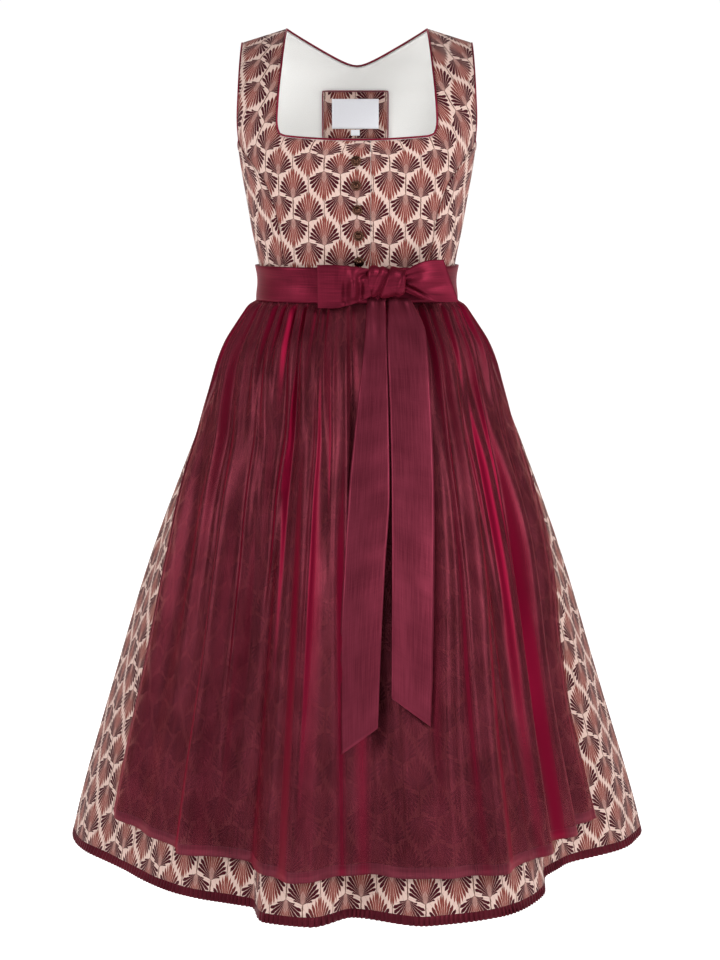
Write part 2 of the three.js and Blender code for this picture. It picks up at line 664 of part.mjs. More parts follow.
// A tie's course, as a turn from the front round the back to the front. Behind, one tie keeps to
// the lower half and the other to the upper half, and both come out one layer further.
const TIE_LOW = 0.6;
const TIE_HIGH = 41;
const TIE_NARROW = 20;
const TIE_UNDER = 2.6;
const TIE_OVER = 5.4;
const TIE_FACE = TIE_OVER + APRON_CLOTH;
const TIE_COURSE = [
  { turn: 103, off: TIE_UNDER, high: TIE_HIGH },
  { turn: 146, off: TIE_UNDER, high: TIE_HIGH },
  { turn: 167, off: TIE_UNDER, high: TIE_NARROW },
  { turn: 193, off: TIE_OVER, high: TIE_NARROW },
  { turn: 214, off: TIE_OVER, high: TIE_HIGH },
  { turn: 350, off: TIE_OVER, high: TIE_HIGH },
  { turn: 380, off: TIE_OVER, high: 37 },
];
const TIE_STEP = 7;

function alongTie(turn, column) {
  const i = clamp(TIE_COURSE.findIndex((row) => row.turn >= turn), 1, TIE_COURSE.length - 1);
  const [from, to] = [TIE_COURSE[i - 1], TIE_COURSE[i]];
  return lerp(from[column], to[column], clamp((turn - from.turn) / (to.turn - from.turn)));
}

function tieSheet(side, lastTurn, keepsHigh) {
  const first = TIE_COURSE[0].turn;
  const bends = TIE_COURSE.map((row) => row.turn).filter((turn) => turn < lastTurn);
  const between = steps(first, lastTurn, Math.round((lastTurn - first) / TIE_STEP));
  const spare = between.filter((turn) => bends.every((bend) => Math.abs(turn - bend) > TIE_STEP / 2));
  const turns = [...new Set([...bends, ...spare, lastTurn])].sort((a, b) => side * (a - b));
  const lowerEdge = (turn) => (keepsHigh ? TIE_LOW + TIE_HIGH - alongTie(turn, "high") : TIE_LOW);
  const upperEdge = (turn) => (keepsHigh && turn < 300 ? TIE_HIGH : alongTie(turn, "high"));
  return [lowerEdge, upperEdge].map((edge) =>
    turns.map((turn) => bodyAtAngle(side * turn, edge(turn), alongTie(turn, "off"))),
  );
}

// Bow
const KNOT = { across: 34.5, height: 25, wide: 21.5, deep: 10.5, tall: 18.5 };
const knotSeat = bodyAtWidth(KNOT.across, TIE_HIGH, -1, TIE_FACE).y - SEAM_GAP;
const TIE_ENDS_APART = 8;
const behindKnot = (sign) => angleOfWidth(KNOT.across + (sign * TIE_ENDS_APART) / 2, KNOT.height);
addPiece("tie_left", clothWall(tieSheet(1, 360 + behindKnot(-1), false), APRON_CLOTH), SATIN);
addPiece("tie_right", clothWall(tieSheet(-1, 360 - behindKnot(1), true), APRON_CLOTH), SATIN);

function knotGeometry() {
  const profile = steps(-90, 90, 6).map(
    (turn) => new THREE.Vector2(Math.max(0, Math.cos(turn * DEGREE)), Math.sin(turn * DEGREE)),
  );
  profile[0].x = 0;
  profile[profile.length - 1].x = 0;
  return new THREE.LatheGeometry(profile, 14);
}

const knot = addPiece("bow_knot", knotGeometry(), SATIN);
knot.rotation.x = Math.PI / 2;
knot.scale.set(KNOT.wide, KNOT.tall, KNOT.deep);
knot.position.set(KNOT.across, knotSeat - KNOT.deep, KNOT.height);

// A loop is cloth that goes out from the knot in front, folds over and comes back behind.
const LOOPS = [
  { name: "bow_loop_right", side: -1, topEnd: -46, lowEnd: -45, top: 44.5, low: -6, backAtKnot: -105, backAtEnd: -103 },
  { name: "bow_loop_left", side: 1, topEnd: 101, lowEnd: 119, top: 50, low: 0.5, backAtKnot: -103, backAtEnd: -86 },
];
const LOOP_STEPS = 7;
const LOOP_BULGE = 13;
const LOOP_PINCHED = 9;
const LOOP_FLAT = 2.2;

function loopSheet({ side, topEnd, lowEnd, top, low, backAtKnot, backAtEnd }) {
  const start = KNOT.across + side * (KNOT.wide + 0.6);
  const hollow = (share) => LOOP_FLAT + LOOP_BULGE * Math.sin(Math.PI * share ** 0.8) * (1 - 0.25 * share);
  const outwards = steps(0, 1, LOOP_STEPS);
  const way = [...outwards.map((share) => ({ share, layer: 1 })), ...outwards.reverse().map((share) => ({ share, layer: 0 }))];
  const sheet = steps(0, 1, 3).map((rise) =>
    way.map(({ share, layer }) => {
      const opened = Math.sin((Math.PI / 2) * Math.min(1, share * 1.25));
      const lowEdge = lerp(KNOT.height - LOOP_PINCHED, low, opened);
      const topEdge = lerp(KNOT.height + LOOP_PINCHED, top, opened);
      const end = lerp(lowEnd, topEnd, rise);
      const bowed = 1 - 0.35 * (2 * rise - 1) ** 2;
      const back = lerp(backAtKnot, backAtEnd, share);
      const y = back - layer * hollow(share) * (share === 1 ? 1 : bowed);
      return new THREE.Vector3(lerp(start, end, share), y, lerp(lowEdge, topEdge, rise));
    }),
  );
  return side > 0 ? sheet : mirrored(sheet);
}

for (const loop of LOOPS) addPiece(loop.name, clothWall(loopSheet(loop), APRON_CLOTH), SATIN);

// Tails
// Each row gives the two edges at a height. The end is cut on a slant between two corner heights.
const TAILS = [
  {
    name: "bow_tail_left",
    edges: [
      { height: 5, left: 36, right: 62 },
      { height: -35, left: 35.5, right: 80 },
      { height: -126, left: 38, right: 85.4 },
      { height: -217, left: 39.5, right: 87.6 },
      { height: -411, left: 38.5, right: 83.7 },
      { height: -460, left: 38, right: 81.5 },
    ],
    endLeft: -428,
    endRight: -460,
  },
  {
    name: "bow_tail_right",
    edges: [
      { height: 5, left: 12, right: 33 },
      { height: -32, left: 10, right: 34 },
      { height: -120, left: 0, right: 36 },
      { height: -207, left: -9, right: 37 },
      { height: -283, left: -14, right: 32 },
      { height: -369, left: -18, right: 27 },
      { height: -489, left: -17, right: 22 },
    ],
    endLeft: -489,
    endRight: -460,
  },
];
const TAIL_ROWS = [5, -8, -22, -48, -90, -150, -220, -300, -380, -430];
const TAIL_COLUMNS = 4;
const TAIL_GAP = 2;
const TAIL_BOW = 2;
const TAIL_SEAT = 0.5;

// How far forward the apron stands between two widths at a height
function apronForward(left, right, height) {
  const row = steps(-1, 1, APRON_COLUMNS).map((across) => apronPoint(across, Math.min(height, 0)));
  return Math.min(...row.filter((p) => p.x > left - 12 && p.x < right + 12).map((p) => p.y)) - APRON_CLOTH;
}

function tailSheet({ edges, endLeft, endRight }) {
  const levels = [...TAIL_ROWS.map((height) => [height, height]), [endLeft, endRight]].reverse();
  const tieFront = bodyAtWidth(edges[0].left, 0, -1, TIE_FACE + TAIL_SEAT).y;
  return levels.map(([leftHeight, rightHeight]) =>
    steps(0, 1, TAIL_COLUMNS).map((share) => {
      const height = lerp(leftHeight, rightHeight, share);
      const left = read(edges, "height", height, "left");
      const right = read(edges, "height", height, "right");
      const overApron = height > 0 ? tieFront : apronForward(left, right, height) - TAIL_GAP;
      const bow = height > 0 ? 0 : TAIL_BOW * Math.sin(Math.PI * share);
      return new THREE.Vector3(lerp(left, right, share), Math.min(overApron, tieFront) - bow, height);
    }),
  );
}

for (const tail of TAILS) addPiece(tail.name, clothWall(tailSheet(tail), APRON_CLOTH), SATIN);

export default dress;
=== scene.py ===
import math

import bmesh
import bpy
import numpy as np
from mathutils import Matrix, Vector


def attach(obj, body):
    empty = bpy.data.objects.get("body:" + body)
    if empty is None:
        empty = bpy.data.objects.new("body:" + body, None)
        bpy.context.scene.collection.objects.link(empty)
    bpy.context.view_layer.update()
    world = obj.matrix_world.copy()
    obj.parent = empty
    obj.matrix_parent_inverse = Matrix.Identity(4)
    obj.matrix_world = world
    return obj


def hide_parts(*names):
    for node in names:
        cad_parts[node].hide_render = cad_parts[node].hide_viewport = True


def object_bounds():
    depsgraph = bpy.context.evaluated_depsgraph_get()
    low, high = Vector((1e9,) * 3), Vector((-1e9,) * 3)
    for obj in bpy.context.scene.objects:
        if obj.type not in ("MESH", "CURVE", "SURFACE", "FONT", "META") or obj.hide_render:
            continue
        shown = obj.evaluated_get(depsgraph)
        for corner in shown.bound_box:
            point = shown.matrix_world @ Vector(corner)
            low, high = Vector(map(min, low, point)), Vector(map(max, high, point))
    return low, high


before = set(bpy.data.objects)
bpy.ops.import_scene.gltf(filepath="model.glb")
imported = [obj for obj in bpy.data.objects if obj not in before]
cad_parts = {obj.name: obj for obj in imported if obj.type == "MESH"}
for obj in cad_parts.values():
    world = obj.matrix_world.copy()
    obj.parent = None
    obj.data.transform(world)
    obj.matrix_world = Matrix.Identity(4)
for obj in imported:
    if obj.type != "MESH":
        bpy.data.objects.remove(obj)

cad_low, cad_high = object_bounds()

MM = 0.001
SHOULDER_HEIGHT = 316
SKIRT_HEM = -657
FRILL_HEM = -667
HEM_RISE_AT_SIDES = 11
APRON_HEM = -616
APRON_HEM_FOLD = 12
APRON_CORNER_RISE = {"right": 12, "left": -4}
SEAM_GAP = 0.3
BODICE_CLOTH = 1.2
SKIRT_CLOTH = 1.0
APRON_CLOTH = 0.8
LINING_CLOTH = 0.6
LINING_GAP = 1.4
PIPING_RADIUS = 1.2
PLACKET_EDGE = 16

# Neckline, shoulders and armholes
NECK_CENTRE = 188.5
NECK_RISE = 4.5
NECK_FLAT = 82
NECK_CORNER_ACROSS = 91.1
NECK_CORNER_RISE = 2.6
STRAP_START = 197
STRAP_TOP = 324
STRAP_INNER_TOP = 86
STRAP_OUTER_TOP = 137
SHOULDER_DROP = 16
BACK_V_HEIGHT = 283
BACK_V_ROUNDING = 15
ARMHOLE_JOIN = 188
ARMHOLE_LOW = 178


def table(columns, *rows):
    """A table whose columns are read by name."""
    return dict(zip(columns.split(), np.array(rows, float).T))


# Sections of the fitted body, upwards from the waist seam
BODY_SECTIONS = table(
    "height half front back roundness",
    (0, 116, 92, 84, 2.2),
    (22, 114.5, 91, 83, 2.2),
    (48, 118.5, 93, 84, 2.2),
    (85, 126, 100, 88, 2.25),
    (120, 132, 109, 92, 2.3),
    (157, 138.5, 117, 96, 2.35),
    (188, 143, 118, 99, 2.4),
    (212, 148, 114, 100, 2.45),
    (245, 154, 103, 97, 2.5),
    (280, 157, 79, 83, 2.5),
    (305, 158, 48, 54, 2.5),
    (318, 158, 21, 24, 2.5),
    (324, 158, 0.2, 0.2, 2.5),
)

# Outer edge of the centre panels: the curved bust seam, and the armhole above it
PANEL_EDGES = table(
    "height front back",
    (0, 84, 74),
    (45, 86, 78),
    (95, 93, 90),
    (137, 106, 106),
    (167, 126, 124),
    (188, 140, 138),
    (212, 141, 137),
    (245, 139.5, 135.5),
    (290, 138, 136),
    (324, 137, 137),
)
STRAP_INNER = table("height across", (212, 95), (245, 93), (285, 89.5), (324, STRAP_INNER_TOP))

# How far the skirt has opened on its way from the waist seam to the hem
FLARE = table(
    "height open",
    (0, 0),
    (-14, 0.033),
    (-28, 0.07),
    (-53, 0.137),
    (-77, 0.184),
    (-102, 0.223),
    (-175, 0.345),
    (-321, 0.574),
    (-468, 0.764),
    (-614, 0.945),
    (-667, 1),
)

# Large folds round the hem, as the distance of each ridge and valley from the middle
HEM_LOBES = table(
    "angle reach",
    (-180, 342),
    (-163, 306),
    (-147, 343),
    (-131, 308),
    (-115, 338),
    (-106, 322),
    (-95, 349),
    (-83, 341),
    (-62, 303),
    (-45, 296),
    (-25, 281),
    (-18, 325),
    (-9, 329),
    (-1, 291),
    (14, 330),
    (28, 331),
    (43, 306),
    (55, 268),
    (63, 270),
    (81, 331),
    (95, 350),
    (110, 316),
    (126, 343),
    (143, 306),
    (160, 335),
    (170, 312),
    (180, 342),
)
PLEATS = 28
PLEAT_DEPTH = table(
    "height depth", (0, 0.6), (-14, 3.2), (-60, 5.5), (-200, 5), (-450, 3.6), (-667, 3)
)
PLEAT_SHARE_UNDER_APRON = 0.25

# The apron's side edges as angles from the front, and its distance off the skirt
APRON_EDGE = table(
    "height right left off",
    (0, 102, 102, 2.6),
    (-14, 100, 100, 6),
    (-60, 95, 95, 7.5),
    (-110, 87, 88, 8),
    (-162, 79, 83, 8),
    (-210, 77, 81.5, 8),
    (-308, 71.5, 77.5, 8),
    (-410, 69.5, 73, 8),
    (-498, 69, 71.5, 8),
    (-616, 68, 72, 8),
)

# Apron folds, as places across from -1 at the left edge to 1 at the right one
APRON_FOLDS = table(
    "top hem depth left right start full fade",
    (-0.92, -0.94, 9, 0.05, 0.07, -60, -330, 0),
    (-0.74, -0.77, 7, 0.06, 0.05, -20, -160, 0.6),
    (-0.58, -0.59, 15, 0.05, 0.09, -15, -330, 0),
    (-0.4, -0.5, 11, 0.05, 0.06, -10, -140, 1),
    (-0.3, -0.33, 9, 0.05, 0.05, -8, -230, 0.5),
    (-0.19, -0.18, 14, 0.045, 0.09, -8, -360, 0),
    (-0.05, -0.02, 14, 0.05, 0.07, -8, -330, 0),
    (0.12, 0.11, 7, 0.05, 0.06, -8, -200, 0.3),
    (0.34, 0.25, 8, 0.05, 0.05, -8, -220, 0.2),
    (0.46, 0.39, 14, 0.08, 0.05, -10, -300, 0),
    (0.61, 0.6, 12, 0.06, 0.08, -10, -200, 0),
    (0.73, 0.79, 26, 0.1, 0.1, -20, -300, 0),
    (0.9, 0.94, 8, 0.06, 0.05, -60, -330, 0),
)

# Fine gathers under the band: how many half waves across, how deep, and where they have gone
APRON_GATHERS = table(
    "waves depth full gone wander",
    (17, 3.2, -70, -300, 1.9),
    (31, 3.3, -35, -190, 2.6),
    (53, 1.9, -18, -100, 3.1),
)

FOLD_NARROWED = 0.8
FOLD_DEEPENED = 1.25

# Narrow creases: sharp ridges, and valleys where the depth is negative
APRON_CREASES = table(
    "top hem depth width start full gone",
    (-0.97, -0.975, 4, 0.012, -40, -200, -700),
    (-0.66, -0.7, 3.5, 0.016, -10, -90, -420),
    (-0.47, -0.495, 6, 0.014, -15, -200, -700),
    (-0.43, -0.44, -4, 0.02, -15, -160, -640),
    (-0.25, -0.47, 5, 0.013, -8, -110, -430),
    (-0.28, -0.285, -5, 0.025, -8, -200, -700),
    (-0.15, -0.175, 6.5, 0.011, -8, -160, -700),
    (-0.09, -0.1, 4, 0.011, -8, -90, -400),
    (-0.04, -0.04, 4, 0.01, -8, -90, -380),
    (0.03, 0.03, 3, 0.012, -8, -90, -360),
    (0.1, 0.118, -5.5, 0.02, -8, -200, -700),
    (0.2, 0.24, -5, 0.022, -8, -200, -700),
    (0.36, 0.355, 6, 0.011, -8, -160, -700),
    (0.49, 0.6, 5, 0.013, -8, -110, -420),
    (0.43, 0.515, 4.5, 0.013, -120, -420, -700),
    (0.56, 0.56, -4, 0.02, -12, -150, -500),
    (0.65, 0.612, 6, 0.012, -10, -150, -700),
    (0.7, 0.68, -4.5, 0.02, -12, -160, -700),
    (0.84, 0.86, 4, 0.014, -30, -160, -700),
    (0.97, 0.97, 3.5, 0.012, -60, -260, -700),
)


# Small functions
def lerp(start, end, share):
    return start + (end - start) * share


def smooth(value):
    held = np.clip(value, 0, 1)
    return held * held * (3 - 2 * held)


def read(rows, column, place, key="height"):
    """Reads one column of a table on a curve that never overshoots a row."""
    x, y = rows[key], rows[column]
    if x[0] > x[-1]:
        x, y = x[::-1], y[::-1]
    place = np.clip(place, x[0], x[-1])
    widths = np.diff(x)
    slopes = np.diff(y) / widths
    before, after = slopes[:-1], slopes[1:]
    turning = before * after <= 0
    inner = np.where(turning, 0, 2 * before * after / np.where(turning, 1, before + after))
    tangents = np.concatenate([slopes[:1], inner, slopes[-1:]])
    i = np.clip(np.searchsorted(x, place, side="right") - 1, 0, len(x) - 2)
    t = (place - x[i]) / widths[i]
    return (
        y[i] * (2 * t**3 - 3 * t**2 + 1)
        + y[i + 1] * (3 * t**2 - 2 * t**3)
        + tangents[i] * widths[i] * (t**3 - 2 * t**2 + t)
        + tangents[i + 1] * widths[i] * (t**3 - t**2)
    )


def points(x, y, z):
    return np.stack(np.broadcast_arrays(x, y, z), axis=-1).astype(float)


def power(value, exponent):
    return np.sign(value) * np.abs(value) ** exponent


# Fitted body
def body_at_angle(degrees, height, out=0):
    sine, cosine = np.sin(np.radians(degrees)), np.cos(np.radians(degrees))
    roundness = 2 / read(BODY_SECTIONS, "roundness", height)
    front, back = read(BODY_SECTIONS, "front", height), read(BODY_SECTIONS, "back", height)
    half = read(BODY_SECTIONS, "half", height) + out
    depth = np.where(cosine > 0, front, back) + out
    return points(half * power(sine, roundness), -depth * power(cosine, roundness), height)


def shoulder_drop(across, height):
    outwards = np.clip((np.abs(across) - STRAP_INNER_TOP) / (STRAP_OUTER_TOP - STRAP_INNER_TOP), 0, 1)
    return SHOULDER_DROP * outwards * smooth((height - STRAP_START) / (STRAP_TOP - STRAP_START))


def body_at_width(across, height, side, out=0):
    """A point at a distance across the body, on its front (side -1) or back (side 1)."""
    roundness = read(BODY_SECTIONS, "roundness", height)
    half = read(BODY_SECTIONS, "half", height) + out
    depth = read(BODY_SECTIONS, "front" if side < 0 else "back", height) + out
    left = np.maximum(0, 1 - (np.abs(across) / half) ** roundness)
    return points(across, side * depth * left ** (1 / roundness), height - shoulder_drop(across, height))


def angle_of_width(across, height):
    half, roundness = read(BODY_SECTIONS, "half", height), read(BODY_SECTIONS, "roundness", height)
    return np.degrees(np.arcsin(np.clip(np.abs(across) / half, 0, 1) ** (roundness / 2)))


def panel_edge(height, face):
    return read(PANEL_EDGES, face, height)


# Skirt and apron
def skirt_pleat(degrees, height):
    phase = PLEATS * degrees + 14 * np.sin(np.radians(3 * degrees))
    uneven = 0.8 + 0.2 * np.sin(np.radians(5 * degrees) + 1)
    beside_apron = smooth((np.abs(degrees) - 78) / 26)
    share = lerp(PLEAT_SHARE_UNDER_APRON, 1, beside_apron) * uneven
    return read(PLEAT_DEPTH, "depth", height) * np.cos(np.radians(phase)) * share


def skirt_point(turn, height, out):
    """A point of the skirt's large form, moved out from it."""
    degrees = np.where(turn > 180, turn - 360, turn)
    waist = body_at_angle(degrees, 0)
    reach = read(HEM_LOBES, "reach", degrees, key="angle")
    opened = read(FLARE, "open", height)
    sine, cosine = np.sin(np.radians(degrees)), np.cos(np.radians(degrees))
    x = lerp(waist[..., 0], reach * sine, opened)
    y = lerp(waist[..., 1], -reach * cosine, opened)
    grown = 1 + out / np.hypot(x, y)
    risen = HEM_RISE_AT_SIDES * sine**4 * (height / SKIRT_HEM) ** 2
    return points(x * grown, y * grown, height + risen)


def apron_fold(across, height):
    depth = 0
    for top, hem, most, left, right, start, full, fade in zip(*APRON_FOLDS.values()):
        grown = smooth((height - start) / (full - start))
        kept = 1 - fade * smooth((height - full) / (APRON_HEM - full))
        away = across - lerp(top, hem, height / APRON_HEM)
        width = np.where(away < 0, left, right) * FOLD_NARROWED
        depth = depth + most * FOLD_DEEPENED * grown * kept * np.exp(-((away / width) ** 2))
    return depth


def apron_gather(across, height):
    """Uneven fine gathers that fade below the band, each set at its own height."""
    depth = 0
    for waves, most, full, gone, wander in zip(*APRON_GATHERS.values()):
        phase = waves * math.pi * across + wander * np.sin(5 * across + waves)
        uneven = 0.65 + 0.35 * np.sin(11 * across + 2 * waves)
        opening = smooth(-height / 9)
        kept = 1 - smooth((height - full) / (gone - full))
        depth = depth + most * uneven * opening * kept * np.cos(phase)
    return depth


def apron_crease(across, height):
    depth = 0
    for top, hem, most, width, start, full, gone in zip(*APRON_CREASES.values()):
        grown = smooth((height - start) / (full - start))
        kept = 1 - smooth((height - full) / (gone - full)) ** 2
        away = across - lerp(top, hem, height / APRON_HEM)
        depth = depth + most * grown * kept / (1 + (away / width) ** 2)
    return depth


def apron_point(across, height, out=0, folded=1):
    hand = np.where(across < 0, read(APRON_EDGE, "right", height), read(APRON_EDGE, "left", height))
    rise = np.where(across < 0, APRON_CORNER_RISE["right"], APRON_CORNER_RISE["left"])
    risen = height + rise * across**4 * (height / APRON_HEM) ** 4
    depth = apron_gather(across, height) + apron_fold(across, height) + apron_crease(across, height)
    return skirt_point(across * hand, risen, read(APRON_EDGE, "off", height) + folded * depth + out)


# Mesh making
# A sheet is an array of rows of points from the bottom up, each from left to right as seen from
# outside. Where it is cut away, keep is false.
def sheet_normals(sheet, keep=None):
    rising = sheet[1:, 1:] - sheet[:-1, :-1]
    falling = sheet[:-1, 1:] - sheet[1:, :-1]
    normal = np.cross(falling, rising)
    if keep is not None:
        normal = normal * whole_squares(keep)[..., None]
    summed = np.zeros_like(sheet)
    for rows in (slice(None, -1), slice(1, None)):
        for columns in (slice(None, -1), slice(1, None)):
            summed[rows, columns] += normal
    return summed / np.maximum(np.linalg.norm(summed, axis=-1, keepdims=True), 1e-9)


def whole_squares(keep):
    return keep[:-1, :-1] & keep[1:, :-1] & keep[:-1, 1:] & keep[1:, 1:]


def moved_out(sheet, distance, keep=None):
    return sheet + sheet_normals(sheet, keep) * distance


def new_piece(name, vertices, faces, uv, material_of_face, materials, smooth_faces):
    """A mesh object from millimetres, with its UV in metres of cloth, that rides on the part."""
    mesh = bpy.data.meshes.new(name)
    place = np.asarray(vertices, float) - (0, 0, SHOULDER_HEIGHT)
    mesh.from_pydata(place * MM, [], np.asarray(faces).tolist())
    corners = np.empty(len(mesh.loops), int)
    mesh.loops.foreach_get("vertex_index", corners)
    layer = mesh.uv_layers.new(name="UVMap")
    layer.data.foreach_set("uv", (np.asarray(uv, float)[corners] * MM).ravel())
    for material in materials:
        mesh.materials.append(material)
    mesh.polygons.foreach_set("material_index", np.asarray(material_of_face, int))
    mesh.polygons.foreach_set("use_smooth", np.asarray(smooth_faces, bool))
    mesh.update()
    piece = bpy.data.objects.new(name, mesh)
    bpy.context.scene.collection.objects.link(piece)
    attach(piece, "root")
    return piece


def cloth_wall(name, sheet, uv, thickness, materials, keep=None):
    """The closed wall between a sheet and the same sheet moved out. The materials are those of
    its right side, its wrong side and its cut edge."""
    rows, columns = sheet.shape[:2]
    keep = np.ones((rows, columns), bool) if keep is None else keep
    whole = whole_squares(keep)
    outer = moved_out(sheet, thickness, keep)
    number = np.arange(rows * columns).reshape(rows, columns)
    a, b = number[:-1, :-1], number[:-1, 1:]
    c, d = number[1:, 1:], number[1:, :-1]
    layer = rows * columns
    quads = [np.stack([a, b, c, d], -1)[whole] + layer, np.stack([a, d, c, b], -1)[whole]]
    framed = np.zeros((rows + 1, columns + 1), bool)
    framed[1:-1, 1:-1] = whole
    sides = (
        (a, b, framed[:-2, 1:-1]),
        (b, c, framed[1:-1, 2:]),
        (c, d, framed[2:, 1:-1]),
        (d, a, framed[1:-1, :-2]),
    )
    for start, end, beside in sides:
        rim = whole & ~beside
        quads.append(np.stack([start, end, end + layer, start + layer], -1)[rim])
    counts = [len(quads[0]), len(quads[1]), sum(len(q) for q in quads[2:])]
    faces = np.concatenate(quads)
    vertices = np.concatenate([sheet.reshape(-1, 3), outer.reshape(-1, 3)])
    flat_uv = np.concatenate([uv.reshape(-1, 2)] * 2)
    used, faces = np.unique(faces, return_inverse=True)
    faces = faces.reshape(-1, 4)
    return new_piece(
        name,
        vertices[used],
        faces,
        flat_uv[used],
        np.repeat([0, 1, 2], counts),
        materials,
        np.repeat([True, True, False], counts),
    )


def row_lengths(sheet):
    """Distance run along each row of a sheet, from its first point."""
    steps = np.linalg.norm(np.diff(sheet, axis=1), axis=-1)
    return np.concatenate([np.zeros((len(sheet), 1)), np.cumsum(steps, axis=1)], axis=1)


def column_lengths(sheet):
    return row_lengths(sheet.transpose(1, 0, 2)).T


def straight_uv(sheet, anchor=0.5):
    """UV of a panel cut straight: measured along each row from one upright column."""
    along = row_lengths(sheet)
    column = int(round(anchor * (sheet.shape[1] - 1)))
    up = column_lengths(sheet)[:, column]
    from_anchor = along - along[:, [column]]
    return np.stack([from_anchor, np.broadcast_to(up[:, None], along.shape)], -1)


def gathered_uv(sheet):
    """UV of a panel gathered at its top: as wide all the way up as at its hem."""
    along = row_lengths(sheet)[0]
    up = column_lengths(sheet).mean(axis=1)
    return np.stack(np.broadcast_arrays(along[None, :], up[:, None]), -1)


def cord_round(name, path, outwards, radius, material, sides=8):
    """A closed round cord along a path, just outside the cut edge that the path follows. Seen
    from outside, the cloth lies below the way of travel from left to right."""
    tangent = np.roll(path, -1, axis=0) - np.roll(path, 1, axis=0)
    tangent /= np.linalg.norm(tangent, axis=1, keepdims=True)
    away = np.cross(outwards, tangent)
    away /= np.linalg.norm(away, axis=1, keepdims=True)
    front = np.cross(tangent, away)
    middle = path + away * (SEAM_GAP + radius)
    turn = np.arange(sides) * 2 * math.pi / sides
    ring = away[:, None] * np.cos(turn)[:, None] + front[:, None] * np.sin(turn)[:, None]
    vertices = middle[:, None] + ring * radius
    count = len(path)
    number = np.arange(count * sides).reshape(count, sides)
    after = np.roll(number, -1, axis=0)
    faces = np.stack([number, after, np.roll(after, -1, axis=1), np.roll(number, -1, axis=1)], -1)
    run = np.concatenate([[0], np.cumsum(np.linalg.norm(np.diff(path, axis=0), axis=1))])
    around = np.broadcast_to(turn * radius, (count, sides))
    uv = np.stack([np.broadcast_to(run[:, None], (count, sides)), around], -1)
    size = faces.shape[0] * sides
    return new_piece(
        name,
        vertices.reshape(-1, 3),
        faces.reshape(-1, 4),
        uv.reshape(-1, 2),
        np.zeros(size),
        [material],
        np.ones(size),
    )


# Materials
FOLD_SHEEN = "painted_fold_sheen"
MATH = "ShaderNodeMath"
MIX = "ShaderNodeMix"
NOISE = "ShaderNodeTexNoise"
RAMP = "ShaderNodeMapRange"
PRINCIPLED = "ShaderNodeBsdfPrincipled"
ON_CLOTH = {"noise_dimensions": "2D"}
BLENDED = {"data_type": "RGBA"}
TINTED = {"data_type": "RGBA", "blend_type": "MULTIPLY"}


def linear(colour):
    """An sRGB hex colour as linear red, green, blue and alpha."""
    parts = [int(colour[i : i + 2], 16) / 255 for i in (1, 3, 5)]
    return [p / 12.92 if p <= 0.04045 else ((p + 0.055) / 1.055) ** 2.4 for p in parts] + [1.0]


def add(tree, kind, inputs=(), **settings):
    """Adds a node with its settings, and fills or links its inputs by place or by name."""
    made = tree.nodes.new(kind)
    for name, value in settings.items():
        setattr(made, name, value)
    pairs = inputs.items() if isinstance(inputs, dict) else enumerate(inputs)
    for key, value in pairs:
        if isinstance(value, bpy.types.Node):
            value = value.outputs[0]
        if isinstance(value, bpy.types.NodeSocket):
            tree.links.new(value, made.inputs[key])
        else:
            made.inputs[key].default_value = value
    return made


def new_material(name):
    material = bpy.data.materials.new(name)
    material.use_nodes = True
    material.node_tree.nodes.clear()
    return material, material.node_tree


def place_on_cloth(tree):
    """Place on the flat cloth in millimetres, from its UV in metres."""
    place = add(tree, "ShaderNodeUVMap", uv_map="UVMap")
    return add(tree, "ShaderNodeVectorMath", {0: place, "Scale": 1 / MM}, operation="SCALE")


def plain_weave(tree, in_mm, scale, distortion, strength):
    """Bump of a plain weave, drawn at about 0.9 mm because the real 0.3 mm threads are finer
    than a pixel."""
    waves = {"Vector": in_mm, "Scale": scale, "Distortion": distortion}
    weave = [add(tree, "ShaderNodeTexWave", waves, bands_direction=way) for way in ("X", "Y")]
    woven = add(tree, MATH, weave, operation="ADD")
    return add(tree, "ShaderNodeBump", {"Height": woven, "Strength": strength, "Distance": 0.0002})


# The print repeats in upright columns of leaf fans, each column a quarter repeat lower than the last
COLUMN_WIDTH = 19
PRINT_REPEAT = 118
COLUMN_STEP = PRINT_REPEAT / 4
HALF_STEM = 11
FAN_REACH = 40.5
FAN_REACH_LOST = 2.9
LEAF_SPREAD = 1.15
LEAF_DRAWN_IN = 4
LEAF_ANGLE = math.radians(4.0)
LEAF_ANGLE_GROWS = math.radians(0.733)
OUTER_LEAF = 7.5
OUTER_LEAF_SHARE = 0.62
INNER_HALF_WIDTH = 1.2
OUTER_HALF_WIDTH = 2.1
LEAF_FILL = 0.42
FEET_REACH = 15
FEET_REACH_LOST = 1.9
PRINT_EDGE = 0.35

# Ramps of the print: from one place to another, and the values there. Places along a leaf are
# shares of its length, and the others are millimetres.
LEAF_SWELLS = (0.3, 0.62, 0.28, 1.0)
LEAF_TIP = (1.0, 0.86, 0.0, 1.0)
LEAF_DARKENS = (1.5, 4.5, 0.0, 1.0)
OUTER_LEAF_SHORTENS = (OUTER_LEAF - 1, OUTER_LEAF, 1.0, OUTER_LEAF_SHARE)
STROKE_ACROSS = (0.55, 0.25, 0.0, 0.35)
STROKE_STARTS = (0.3, 0.4, 0.0, 1.0)
STROKE_ENDS = (0.72, 0.62, 0.0, 1.0)
FOOT_ENDS = (-1.5, 1.5, 0.0, 1.0)
FAN_BASE = (4.0, 2.0, 0.0, 0.8)
INK_EDGE = (-PRINT_EDGE / 2, PRINT_EDGE / 2, 0.0, 1.0)
THICK_STEM = (3.0, -1.0, 0.0, 0.75)
THIN_STEM = (FAN_REACH - 12, FAN_REACH - 6, 0.0, 0.5)

# Inks in the order in which they are printed
INKS = {"Leaf foot": "#865049", "Stem": "#6F5046", "Rust leaf": "#7E372F", "Dark leaf": "#3F0614"}


